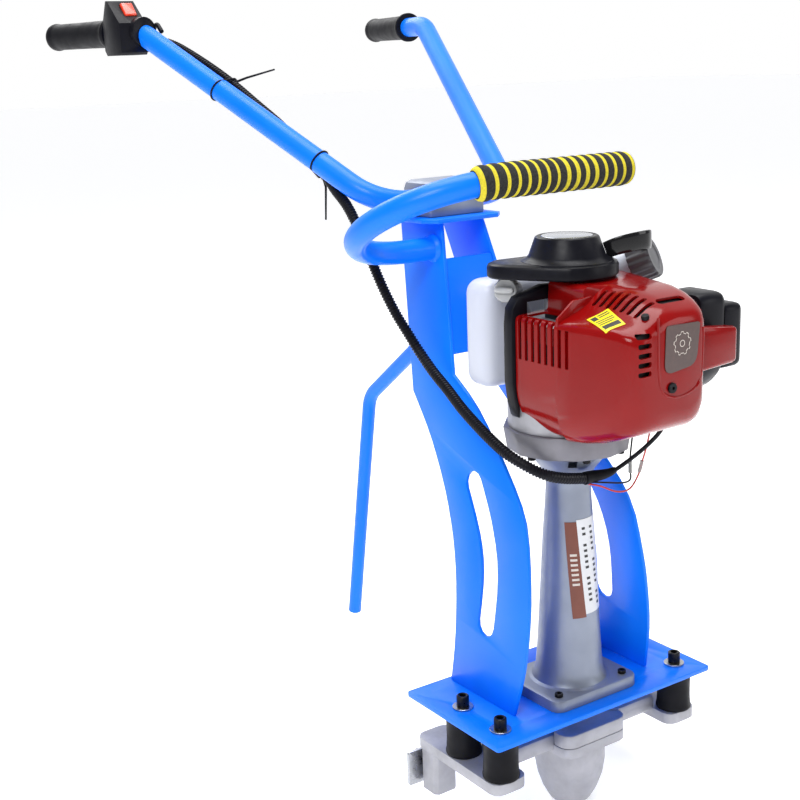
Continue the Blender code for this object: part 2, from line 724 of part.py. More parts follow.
def handlebar_path():
    bend = (-GRIP_BEND[0], GRIP_BEND[1], GRIP_BEND[2])
    end = (-GRIP_END[0], GRIP_END[1], GRIP_END[2])
    left = rounded([(0, BAR_Y, BAR_H), (-88, BAR_Y, BAR_H), bend, end], 55)
    right = [Vector((-p.x, p.y, p.z)) for p in left[:0:-1]]
    return right + left


def on_slope(low, high, tilt, bevel=0.0):
    """Box whose corners are counted from the stop switch's pivot, turned about X."""
    x, y, h = SWITCH_PIVOT
    made = block((x + low[0], y + low[1], h + low[2]), (x + high[0], y + high[1], h + high[2]),
                 bevel, None, 1)
    pivot = pos(*SWITCH_PIVOT)
    turn = Matrix.Rotation(math.radians(tilt), 4, "X")
    made.data.transform(Matrix.Translation(pivot) @ turn @ Matrix.Translation(-pivot))
    return made


def handlebar():
    path = handlebar_path()
    bar = finish(tube(path, TUBE_RADIUS, 3), "handlebar", "blue")
    shell = side_sheet([(510, 672), (513, 669), (552, 669), (558, 675), (558, 708), (546, 731),
                        (541, 731), (510, 705)], 33)
    shell.data.transform(Matrix.Translation((-215.5 * MM, 0, 0)))
    side = block((-214, 513, 672), (-190.5, 556, 710.5), 4, None, 2)
    flange = rod((-203, 505, 695), (-205, 514, 695), 16.6)
    shell = combine(shell, "UNION", side, flange)
    shell = combine(shell, "DIFFERENCE", tube(path, TUBE_RADIUS + GAP, 3))
    shell = combine(shell, "DIFFERENCE", on_slope((-8, -10.5, -6.5), (8, 10.5, 20), SWITCH_SLOPE))
    shell = finish(shell, "switch_housing", "black_plastic")
    button = on_slope((-7.5, -10, -2.5), (7.5, 10, 3), SWITCH_SLOPE + ROCKER_TILT, 1.2)
    button = finish(button, "stop_switch", "orange")
    lever = rod((LEVER_PIVOT[0] - 2.2, LEVER_PIVOT[1], LEVER_PIVOT[2]),
                (LEVER_PIVOT[0] + 4, LEVER_PIVOT[1], LEVER_PIVOT[2]), 6, sides=16)
    thumb = rounded([(LEVER_PIVOT[0] + 2.5, 528, 694), (LEVER_PIVOT[0] + 2.5, 511, 704),
                     (LEVER_PIVOT[0] + 2.5, 499, 694)], 6, 3)
    lever = combine(lever, "UNION", tube(thumb, 2.8, 2))
    lever = finish(lever, "throttle_lever", "black_plastic")
    grips = []
    for side, word in ((-1, "left"), (1, "right")):
        ahead = Vector((side * (GRIP_END[0] - GRIP_BEND[0]), GRIP_END[1] - GRIP_BEND[1], 0)).normalized()
        near = Vector((side * GRIP_END[0], GRIP_END[1], GRIP_END[2])) - ahead * 124
        grip = turned([(0, 128), (14, 128), (16, 124), (15.4, 118), (15.4, 6), (19, 4), (19, 0),
                       (TUBE_RADIUS + GAP, 0), (TUBE_RADIUS + GAP, 124.6), (0, 124.6)],
                      tuple(near), ahead, 20)
        grips.append(finish(grip, "grip_" + word, "rubber"))
    carry(joint_at("handlebar_hinge", (0, BAR_Y, BAR_H)), bar, shell, *grips)
    carry(joint_at("switch_rock", SWITCH_PIVOT), button)
    carry(joint_at("lever_hinge", LEVER_PIVOT), lever)


def bar_clamp():
    low = TOP_PLATE_H + TOP_PLATE_THICK + GAP
    for name, h0, h1, soft in (("clamp_base", low, BAR_H - 0.5, 4), ("clamp_cap", BAR_H + 0.5, 525, 9)):
        half = block((-37, 177, h0), (37, 226, h1), soft, 1 if soft > 5 else 2, 2)
        bore = rod((-60, BAR_Y, BAR_H), (60, BAR_Y, BAR_H), TUBE_RADIUS + GAP, sides=28)
        finish(combine(half, "DIFFERENCE", bore), name, "silver")


# ---------------------------------------------------------------- cords

CONDUIT = [(-178, 500, 681), (-171.2, 481.6, 674.3), (-158.5, 444.4, 655.4), (-145.5, 408.8, 633.9),
           (-132.2, 375.3, 609.1), (-119.6, 341.6, 584.2), (-109.8, 308.8, 556.1), (-104.5, 274, 529),
           (-105, 258, 517.5), (-106, 235, 503), (-105, 217, 482),
           (-102, 206, 460), (-98, 197, 437), (-93, 188, 414), (-85, 179, 389), (-78, 170, 370),
           (-72, 158, 350.5), (-69, 136, 330), (-70, 111, 316.5), (-74, 80, 301.5), (-78, 50, 290.5),
           (-81, 22, 281), (-81, -1.5, 272.5), (-74, -19, 264), (-64, -30, 256.5), (-53, -36, 251.5),
           (-34, -38, 246), (-8, -38, 241)]
CABLE = [(-6, -38, 241), (10, -44, 243), (21, -46, 245), (32, -56, 256), (42, -70, 272), (48, -82, 288),
         (49, -90, 303)]
WIRE_BLACK = [(-7, -42.2, 237.5), (12, -46, 234), (30, -48, 230.5), (40, -49, 232), (39, -50, 243),
              (38, -51, 258), (37, -55, 281)]
WIRE_RED = [(-7, -38, 234.7), (5, -43, 231), (24, -46, 222), (42, -46, 221), (52, -48, 234), (54, -52, 250),
            (52, -60, 268), (50, -66, 285)]


def cords():
    finish(tube(evenly(smooth(CONDUIT), 14), 5.6, 2), "conduit", "black_plastic")
    finish(tube(evenly(smooth(CABLE), 7), 2.2, 2), "throttle_cable", "black_plastic")
    finish(tube(evenly(smooth(WIRE_BLACK), 6), 0.9, 2), "wire_black", "black_plastic")
    finish(tube(evenly(smooth(WIRE_RED), 6), 0.9, 2), "wire_red", "red")


# ---------------------------------------------------------------- build

clear_scene()
PARTS = collection("screed_power_unit")
MATERIALS = {
    "blue": material("blue_paint", (0.02, 0.22, 0.90), 0.25),
    "silver": material("silver_casting", (0.52, 0.53, 0.55), 0.38, 0.8),
    "cast": material("cast_aluminium", (0.55, 0.55, 0.57), 0.48, 0.8),
    "dark_cast": material("dark_casting", (0.10, 0.10, 0.11), 0.45, 0.5),
    "steel": material("steel", (0.55, 0.56, 0.58), 0.30, 1.0),
    "black_steel": material("black_steel", (0.02, 0.02, 0.022), 0.35, 0.6),
    "rubber": material("black_rubber", (0.015, 0.015, 0.016), 0.6),
    "foam": material("foam_sleeve", (0.02, 0.02, 0.02), 0.9),
    "red": material("red_plastic", (0.42, 0.01, 0.015), 0.18),
    "black_plastic": material("black_plastic", (0.014, 0.014, 0.016), 0.4),
    "grey_plastic": material("grey_plastic", (0.10, 0.10, 0.11), 0.45),
    "light_plastic": material("light_grey_plastic", (0.45, 0.46, 0.47), 0.4),
    "tank": material("tank_plastic", (0.80, 0.81, 0.82), 0.35),
    "orange": material("orange_plastic", (0.90, 0.10, 0.03), 0.35),
}

exciter_casting()
exciter_cover()
eccentric()
clamp(-1, "left")
clamp(1, "right")
isolator(-BOLT_X, BOLT_FRONT_Y, "front_left")
isolator(-BOLT_X, BOLT_REAR_Y, "rear_left")
isolator(BOLT_X, BOLT_FRONT_Y, "front_right")
isolator(BOLT_X, BOLT_REAR_Y, "rear_right")
base_plate()
web(-1, "left")
web(1, "right")
cross_plate()
top_plate()
loop_handle()
stand()
column()
clutch_housing()
drive_line()
rotor()
crankcase()
cylinder()
engine_cover()
shroud_plate()
recoil_housing()
starter_handle()
fuel_system()
oil_cap()
intake()
handlebar()
bar_clamp()
cords()
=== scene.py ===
"""Looks of the hand-guided vibrating screed's power unit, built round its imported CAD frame."""
import json
import math

import bmesh
import bpy
from mathutils.bvhtree import BVHTree
from mathutils import Matrix, Vector

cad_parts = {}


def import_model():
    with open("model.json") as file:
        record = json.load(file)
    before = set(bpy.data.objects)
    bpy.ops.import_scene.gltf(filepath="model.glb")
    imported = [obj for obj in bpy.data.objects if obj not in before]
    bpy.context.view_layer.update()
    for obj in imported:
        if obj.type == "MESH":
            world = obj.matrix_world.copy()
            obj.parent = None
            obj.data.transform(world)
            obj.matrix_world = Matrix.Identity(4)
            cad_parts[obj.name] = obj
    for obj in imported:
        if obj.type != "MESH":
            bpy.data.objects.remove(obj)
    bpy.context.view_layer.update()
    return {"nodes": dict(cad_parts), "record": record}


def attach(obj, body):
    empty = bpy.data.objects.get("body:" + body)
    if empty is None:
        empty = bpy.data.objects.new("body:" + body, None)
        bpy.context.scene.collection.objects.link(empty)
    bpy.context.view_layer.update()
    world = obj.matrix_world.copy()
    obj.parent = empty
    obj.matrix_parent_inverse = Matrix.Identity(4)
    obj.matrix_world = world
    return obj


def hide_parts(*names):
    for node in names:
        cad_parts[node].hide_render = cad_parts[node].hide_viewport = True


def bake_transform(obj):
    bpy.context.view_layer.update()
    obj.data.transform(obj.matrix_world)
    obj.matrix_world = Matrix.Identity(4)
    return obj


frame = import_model()
NODES = frame["nodes"]
SCENE = bpy.context.scene

MM = 0.001
FOOT_DEPTH = 136.0             # exciter foot below the plate's top face, mm
CORNER_STEPS = 10              # steps round a bend of a tube
PAST_FRONT = -200            # a place ahead of the whole cover, so its full depth is made
MATERIALS = {}


def P(x, y, h):
    """World place of a point in millimetres, h above the base plate's top face."""
    return Vector((x, y, h + FOOT_DEPTH)) * MM


# ---------------------------------------------------------------- materials

class Look:
    """A Principled material and the few nodes that give it grain, dirt and bump."""

    def __init__(self, name, colour, roughness, metallic=0.0, coat=0.0, coat_roughness=0.06, sheen=0.5):
        self.material = bpy.data.materials.new(name)
        self.material.use_nodes = True
        self.tree = self.material.node_tree
        self.shader = self.tree.nodes["Principled BSDF"]
        self.set("Base Color", (*colour, 1.0))
        self.set("Roughness", roughness)
        self.set("Metallic", metallic)
        self.set("Coat Weight", coat)
        self.set("Coat Roughness", coat_roughness)
        self.set("Specular IOR Level", sheen)
        self.place = self.node("ShaderNodeTexCoord").outputs["Object"]
        self.colour = colour
        self.roughness = roughness
        MATERIALS[name] = self.material

    def set(self, socket, value):
        self.shader.inputs[socket].default_value = value

    def node(self, kind):
        return self.tree.nodes.new(kind)

    def link(self, out, into):
        self.tree.links.new(out, into)

    def noise(self, scale, detail):
        texture = self.node("ShaderNodeTexNoise")
        texture.inputs["Scale"].default_value = scale
        texture.inputs["Detail"].default_value = detail
        self.link(self.place, texture.inputs["Vector"])
        return texture.outputs["Fac"]

    def ramp(self, factor, *stops):
        made = self.node("ShaderNodeValToRGB")
        ramp = made.color_ramp
        while len(ramp.elements) < len(stops):
            ramp.elements.new(0.5)
        for element, (at, colour) in zip(ramp.elements, stops):
            element.position = at
            element.color = (*colour, 1.0)
        self.link(factor, made.inputs["Fac"])
        return made.outputs["Color"]

    def tint(self, factor, low, high):
        """Vary the base colour between a darker and a lighter shade."""
        dark = tuple(min(1.0, c * low) for c in self.colour)
        light = tuple(min(1.0, c * high + 0.002) for c in self.colour)
        self.link(self.ramp(factor, (0.3, dark), (0.7, light)), self.shader.inputs["Base Color"])

    def rough(self, factor, spread):
        r = self.roughness
        low = (r - spread,) * 3
        high = (r + spread,) * 3
        self.link(self.ramp(factor, (0.3, low), (0.7, high)), self.shader.inputs["Roughness"])

    def bump(self, factor, depth, strength):
        """Bump of a depth in metres."""
        made = self.node("ShaderNodeBump")
        made.inputs["Strength"].default_value = strength
        made.inputs["Distance"].default_value = depth
        self.link(factor, made.inputs["Height"])
        self.link(made.outputs["Normal"], self.shader.inputs["Normal"])


def rgb(r, g, b):
    """Linear colour of an 8-bit sRGB one."""
    found = []
    for c in (r, g, b):
        c = c / 255
        found.append(c / 12.92 if c <= 0.04045 else ((c + 0.055) / 1.055) ** 2.4)
    return tuple(found)


def make_look(name, colour, roughness, tint=None, rough=None, bump=None, others=(), **values):
    """Look whose tint, roughness and bump vary with noise: its scale and detail come first."""
    look = Look(name, colour, roughness, **values)
    for socket, value in others:
        look.set(socket, value)
    for vary, numbers in ((look.tint, tint), (look.rough, rough), (look.bump, bump)):
        if numbers:
            vary(look.noise(*numbers[:2]), *numbers[2:])


def make_materials():
    make_look("blue_paint", rgb(0, 118, 252), 0.34, tint=(9.0, 2.0, 0.93, 1.05), rough=(60.0, 3.0, 0.05),
              bump=(420.0, 2.0, 0.00006, 0.5), coat=0.05, coat_roughness=0.10, sheen=0.22)
    make_look("silver_casting", rgb(134, 141, 156), 0.40, tint=(22.0, 3.0, 0.92, 1.06),
              rough=(120.0, 3.0, 0.06), bump=(1500.0, 2.0, 0.00008, 0.5), metallic=0.55)
    make_look("cast_aluminium", rgb(168, 168, 174), 0.5, tint=(35.0, 5.0, 0.86, 1.1),
              rough=(200.0, 3.0, 0.08), bump=(900.0, 4.0, 0.00022, 0.6), metallic=0.45)
    make_look("dark_casting", rgb(116, 115, 122), 0.45, tint=(40.0, 4.0, 0.85, 1.12),
              bump=(900.0, 3.0, 0.00012, 0.5), metallic=0.4)
    make_look("steel", rgb(176, 178, 182), 0.28, rough=(90.0, 3.0, 0.05), bump=(400.0, 2.0, 0.00002, 0.4),
              metallic=1.0)
    make_look("black_steel", (0.010, 0.010, 0.012), 0.32, rough=(300.0, 3.0, 0.08),
              bump=(700.0, 3.0, 0.00004, 0.5), sheen=0.3, metallic=0.6)
    make_look("black_rubber", (0.004, 0.004, 0.006), 0.5, tint=(30.0, 3.0, 0.8, 1.3),
              rough=(80.0, 3.0, 0.08), bump=(1100.0, 2.0, 0.00006, 0.5), sheen=0.13)
    make_look("red_plastic", rgb(132, 4, 4), 0.16, tint=(12.0, 2.0, 0.92, 1.06),
              bump=(140.0, 1.0, 0.00002, 0.4), coat=0.12, coat_roughness=0.03, sheen=0.18)
    make_look("red_wire", rgb(190, 40, 30), 0.4, tint=(200.0, 3.0, 0.9, 1.1))
    make_look("black_plastic", (0.005, 0.005, 0.008), 0.34, tint=(25.0, 3.0, 0.85, 1.25),
              rough=(150.0, 3.0, 0.06), bump=(1700.0, 2.0, 0.00006, 0.5), sheen=0.15)
    make_look("black_gloss", (0.006, 0.006, 0.007), 0.14, rough=(90.0, 3.0, 0.03), coat=0.2,
              coat_roughness=0.03, sheen=0.3)
    make_look("grey_plastic", rgb(92, 92, 96), 0.42, tint=(60.0, 3.0, 0.88, 1.12),
              bump=(1400.0, 2.0, 0.00006, 0.5))
    make_look("light_grey_plastic", rgb(176, 177, 178), 0.38, tint=(60.0, 3.0, 0.93, 1.05),
              bump=(1200.0, 2.0, 0.00005, 0.5))
    make_look("tank_plastic", rgb(204, 208, 220), 0.34, tint=(14.0, 3.0, 0.97, 1.02),
              bump=(500.0, 2.0, 0.00005, 0.4),
              others=(("Subsurface Weight", 0.35), ("Subsurface Radius", (0.012, 0.012, 0.013)),
                      ("Subsurface Scale", 1.0)))
    make_look("orange_plastic", rgb(236, 62, 30), 0.3, tint=(80.0, 3.0, 0.94, 1.05), coat=0.4)
    make_look("foam_black", (0.014, 0.014, 0.013), 0.95, tint=(500.0, 3.0, 0.6, 1.9),
              bump=(1500.0, 2.0, 0.0004, 0.8))
    make_look("foam_yellow", rgb(214, 198, 44), 0.9, tint=(500.0, 3.0, 0.85, 1.1),
              bump=(1500.0, 2.0, 0.0004, 0.8))
    make_look("sticker_yellow", rgb(246, 226, 20), 0.3, tint=(90.0, 3.0, 0.97, 1.02), coat=0.3)
    make_look("sticker_white", rgb(214, 216, 220), 0.35, tint=(90.0, 3.0, 0.97, 1.02))
    make_look("sticker_brown", rgb(112, 56, 40), 0.35, tint=(90.0, 3.0, 0.94, 1.05))
    make_look("ink", (0.02, 0.02, 0.022), 0.45, tint=(90.0, 3.0, 0.9, 1.1))
    make_look("badge_brown", rgb(62, 34, 28), 0.3, tint=(300.0, 3.0, 0.85, 1.15), coat=0.5)
    make_look("badge_line", rgb(206, 196, 186), 0.35, tint=(90.0, 3.0, 0.95, 1.04))
    make_look("clear_sleeve", rgb(206, 206, 202), 0.15, tint=(90.0, 3.0, 0.96, 1.03),
              others=(("Transmission Weight", 0.6),))
    make_look("disc_silver", rgb(196, 200, 208), 0.2, rough=(60.0, 2.0, 0.05), metallic=0.9)
    # painted shade: near-black for the shade inside the cover and inside the column's bore
    make_look("painted_shade_black", (0.006, 0.006, 0.007), 0.7, tint=(60.0, 3.0, 0.8, 1.2))


# ---------------------------------------------------------------- shapes

def loft(shape, rings, capped=True):
    """Walls between closed rings of vertices, with a face on each end."""
    for a, b in zip(rings, rings[1:]):
        for k in range(len(a)):
            n = (k + 1) % len(a)
            shape.faces.new((a[k], a[n], b[n], b[k]))
    if capped:
        shape.faces.new(rings[0])
        shape.faces.new(rings[-1])


def slab(shape, layers):
    """Closed sheet between two grids of vertices."""
    inner, outer = layers
    walls = [(inner[0], outer[0]), (inner[-1], outer[-1])]
    walls += [([row[end] for row in inner], [row[end] for row in outer]) for end in (0, -1)]
    for a, b in [pair for rows in layers for pair in zip(rows, rows[1:])] + walls:
        for k in range(len(a) - 1):
            shape.faces.new((a[k], a[k + 1], b[k + 1], b[k]))


def add(name, mesh_data, look, body, replaces=(), smooth=32, bevel=0.0):
    """Piece from a bmesh, with its looks, its body and the CAD nodes it stands for."""
    bmesh.ops.recalc_face_normals(mesh_data, faces=mesh_data.faces)
    mesh = bpy.data.meshes.new(name)
    mesh_data.to_mesh(mesh)
    mesh_data.free()
    thing = bpy.data.objects.new(name, mesh)
    SCENE.collection.objects.link(thing)
    if look:
        mesh.materials.append(MATERIALS[look])
    shade(mesh, smooth)
    if bevel:
        soften(thing, bevel, smooth)
    if body:
        settle(thing, body, replaces)
    return thing


def shade(mesh, angle):
    mesh.shade_smooth()
    mesh.set_sharp_from_angle(angle=math.radians(angle))


def soften(thing, width, angle):
    """Small round along hard edges, applied."""
    change = thing.modifiers.new("edge", "BEVEL")
    change.width = width * MM
    change.segments = 2
    change.limit_method = "ANGLE"
    change.angle_limit = math.radians(angle)
    change.use_clamp_overlap = True
    apply(thing)
    shade(thing.data, angle + 10)


def apply(thing):
    bpy.context.view_layer.update()
    seen = thing.evaluated_get(bpy.context.evaluated_depsgraph_get())
    mesh = bpy.data.meshes.new_from_object(seen)
    old = thing.data
    thing.modifiers.clear()
    thing.data = mesh
    mesh.name = thing.name
    bpy.data.meshes.remove(old)


def settle(thing, body, replaces=()):
    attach(thing, body)
    if replaces:
        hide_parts(*replaces)


def cut(thing, *tools, operation="DIFFERENCE"):
    """Boolean with other objects, which are used up."""
    for tool in tools:
        change = thing.modifiers.new("cut", "BOOLEAN")
        change.operation = operation
        change.solver = "EXACT"
        change.object = tool
    apply(thing)
    for tool in tools:
        bpy.data.objects.remove(tool, do_unlink=True)


def box_shape(low, high, bevel=0.0, segments=3, turn=None, around=None):
    a = P(*low)
    b = P(*high)
    shape = bmesh.new()
    bmesh.ops.create_cube(shape, size=1.0)
    size = b - a
    middle = (a + b) / 2
    for vert in shape.verts:
        vert.co = Vector([vert.co[i] * size[i] + middle[i] for i in range(3)])
    if bevel:
        bmesh.ops.bevel(shape, geom=list(shape.edges), offset=bevel * MM, segments=segments,
                        profile=0.5, affect="EDGES", clamp_overlap=True)
    if turn is not None:
        middle = P(*around) if around else middle
        bmesh.ops.transform(shape, matrix=Matrix.Translation(middle) @ turn.to_4x4()
                            @ Matrix.Translation(-middle), verts=shape.verts)
    return shape


def frame_axes(direction):
    """Two unit vectors square to a direction."""
    side = direction.cross(Vector((0, 0, 1)))
    if side.length < 0.01:
        side = Vector((1, 0, 0))
    side.normalize()
    return side, direction.cross(side).normalized()


def turned_shape(profile, base=(0, 0, 0), axis=(0, 0, 1), steps=48, ribs=0, rib_depth=0.0):
    """Turned piece from (radius, height) points; ribs knurl its outer side."""
    direction = Vector(axis).normalized()
    side, up = frame_axes(direction)
    origin = P(*base)
    shape = bmesh.new()
    most = max(r for r, _ in profile)
    rings = []
    for r, h in profile:
        if r < 1e-6:
            rings.append([shape.verts.new(origin + direction * h * MM)])
            continue
        ring = []
        for k in range(steps):
            angle = 2 * math.pi * k / steps
            radius = r
            if ribs and r > most * 0.93:
                radius = r - rib_depth * (0.5 - 0.5 * math.cos(ribs * angle))
            out = side * math.cos(angle) + up * math.sin(angle)
            ring.append(shape.verts.new(origin + (direction * h + out * radius) * MM))
        rings.append(ring)
    for a, b in zip(rings, rings[1:]):
        for k in range(steps):
            n = (k + 1) % steps
            if len(a) == 1 and len(b) == 1:
                continue
            if len(a) == 1:
                shape.faces.new((a[0], b[k], b[n]))
            elif len(b) == 1:
                shape.faces.new((a[k], a[n], b[0]))
            else:
                shape.faces.new((a[k], a[n], b[n], b[k]))
    return shape


def sweep_shape(points, radii, sides=20):
    """Round bar through world points with a radius (metres) at each."""
    shape = bmesh.new()
    rings = []
    ahead = (points[1] - points[0]).normalized()
    side, up = frame_axes(ahead)
    for i, point in enumerate(points):
        after = points[min(i + 1, len(points) - 1)]
        before = points[max(i - 1, 0)]
        now = (after - before).normalized()
        turn = ahead.rotation_difference(now)
        side = turn @ side
        up = turn @ up
        ahead = now
        ring = []
        for k in range(sides):
            angle = 2 * math.pi * k / sides
            out = side * math.cos(angle) + up * math.sin(angle)
            ring.append(shape.verts.new(point + out * radii[i]))
        rings.append(ring)
    loft(shape, rings)
    return shape


def smooth(points, steps=4):
    """Catmull-Rom curve through the points."""
    found = []
    last = len(points) - 1
    for i in range(last):
        a = Vector(points[max(i - 1, 0)])
        b = Vector(points[i])
        c = Vector(points[i + 1])
        d = Vector(points[min(i + 2, last)])
        for k in range(steps):
            t = k / steps
            found.append(0.5 * (2 * b + (c - a) * t + (2 * a - 5 * b + 4 * c - d) * t * t
                                + (3 * b - a - 3 * c + d) * t ** 3))
    found.append(Vector(points[last]))
    return found


def evenly(points, spacing):
    lengths = [0.0]
    for a, b in zip(points, points[1:]):
        lengths.append(lengths[-1] + (b - a).length)
    count = max(2, round(lengths[-1] / spacing))
    found = []
    k = 0
    for i in range(count + 1):
        goal = lengths[-1] * i / count
        while k < len(points) - 2 and lengths[k + 1] < goal:
            k += 1
        share = (goal - lengths[k]) / (lengths[k + 1] - lengths[k])
        found.append(points[k].lerp(points[k + 1], min(share, 1.0)))
    return found


def rounded(points, radius):
    """Polyline whose inner corners are rounded to the given radius."""
    found = [Vector(points[0])]
    for a, b, c in zip(points, points[1:], points[2:]):
        a, b, c = Vector(a), Vector(b), Vector(c)
        back = (a - b).normalized()
        ahead = (c - b).normalized()
        half = back.angle(ahead) / 2
        reach = radius / math.tan(half)
        centre = b + (back + ahead).normalized() * (radius / math.sin(half))
        start = b + back * reach - centre
        end = b + ahead * reach - centre
        sweep = start.angle(end)
        for k in range(CORNER_STEPS + 1):
            share = k / CORNER_STEPS
            spoke = start * math.sin((1 - share) * sweep) + end * math.sin(share * sweep)
            found.append(centre + spoke / math.sin(sweep))
    found.append(Vector(points[-1]))
    return found


def world(points):
    return [P(*point) for point in points]


def rod_shape(start, end, radius, sides=24):
    return sweep_shape(world([start, end]), [radius * MM] * 2, sides)


def trim(name, shape, look, smooth=32, bevel=0.0):
    """Piece on the frame that stands for no CAD node."""
    return add(name, shape, look, "frame", (), smooth, bevel)


def copy_of(node, look, bevel):
    """Welded copy of a CAD node with softened edges, standing for it."""
    shape = bmesh.new()
    shape.from_mesh(NODES[node].data)
    bmesh.ops.remove_doubles(shape, verts=shape.verts, dist=0.000004)
    bmesh.ops.dissolve_limit(shape, angle_limit=math.radians(0.8), verts=shape.verts, edges=shape.edges)
    return add(node + "_skin", shape, look, body_of(node), (node,), bevel=bevel)


def body_of(node):
    for body, members in frame["record"]["behaviour"]["bodies"].items():
        if node in members:
            return body
    return None


# ---------------------------------------------------------------- engine cover

def fillet(corners, steps=5):
    """Closed outline of (x, h, radius) corners with rounded corners."""
    found = []
    count = len(corners)
    for i in range(count):
        x, h, r = corners[i]
        b = Vector((x, h))
        a = Vector(corners[i - 1][:2])
        c = Vector(corners[(i + 1) % count][:2])
        back = a - b
        ahead = c - b
        r = min(r, 0.45 * back.length, 0.45 * ahead.length)
        start = b + back.normalized() * r
        end = b + ahead.normalized() * r
        for k in range(steps + 1):
            t = k / steps
            found.append((1 - t) ** 2 * start + 2 * t * (1 - t) * b + t * t * end)
    return found


COVER_REAR = [
    # y, left, right, low, wall, top
    (-2, -68, 71, 290.6, -27, 440),
    (-30, -67.2, 67, 290.6, -29, 439.4),
    (-57, -66, 62, 290.6, -31, 438.4),
]
COVER_FRONT = [
    # y, left, right, low, shoulder, top, soft
    (-60.5, -66, 61.5, 290.8, 409, 438, 11),
    (-80, -64, 57.5, 292.8, 409, 437.6, 11),
    (-97, -61, 54, 296, 409, 437, 12),
    (-115, -58.5, 51, 302, 408.4, 433.5, 12),
    (-130, -55, 47, 308, 407, 428.5, 13),
    (-139, -51.8, 43.8, 313.5, 404.6, 424, 15),
    (-144.5, -47.5, 39.8, 320, 401.5, 419.5, 17),
    (-147.4, -42, 34.5, 331, 397.5, 413, 18),
]


def cover_rings(inset):
    """Outlines of the cover from the rear forward, each with its place along Y."""
    rings = []
    for y, left, right, low, wall, top in COVER_REAR:
        corners = [(left + 17 + inset, low + inset, 14), (left + inset, low + 34 + inset, 26),
                   (left + inset, 409 - inset, 6),
                   (wall + inset, 410 - inset, 3), (wall + 1.5 + inset, top - inset, 8),
                   (wall + 16, top - inset, 3), (right - inset, top - inset, 15),
                   (right - inset, low + inset, 14)]
        rings.append((y, fillet(corners)))
    for y, left, right, low, shoulder, top, soft in COVER_FRONT:
        rise = top - shoulder
        corners = [(left + soft * 1.1 + inset, low + inset, soft),
                   (left + inset, low + soft * 1.9 + inset, 20),
                   (left + inset, shoulder - inset, 7), (-30, shoulder + 0.42 * rise - inset, 10),
                   (-14, shoulder + 0.85 * rise - inset, 8), (0, top - inset, 10),
                   (right - inset, top - inset, 15),
                   (right - inset, low + inset, soft * 1.2)]
        rings.append((y, fillet(corners)))
    return rings


def cover_shell(inset, front, rear=0.0):
    """Closed body of the cover's outer shape, shrunk by an inset."""
    shape = bmesh.new()
    rings = []
    for y, outline in cover_rings(inset):
        place = max(y, front)
        if not rings:
            place = y + rear
        rings.append([shape.verts.new(P(point.x, place, point.y)) for point in outline])
        if place == front and y != front:
            break
    loft(shape, rings)
    return shape


def tool(shape):
    return add("tool", shape, None, None)


def slot_tool(start, end, width, low, high):
    """Round-ended slot between two (x, y) places, upright from low to high."""
    a, b = Vector(start), Vector(end)
    along = (b - a).normalized()
    across = Vector((-along.y, along.x)) * width / 2
    outline = []
    for centre, first in ((b, -across), (a, across)):
        for k in range(9):
            outline.append(centre + Matrix.Rotation(math.pi * k / 8, 2) @ first)
    shape = bmesh.new()
    floor = [shape.verts.new(P(p.x, p.y, low)) for p in outline]
    roof = [shape.verts.new(P(p.x, p.y, high)) for p in outline]
    loft(shape, [floor, roof])
    return tool(shape)


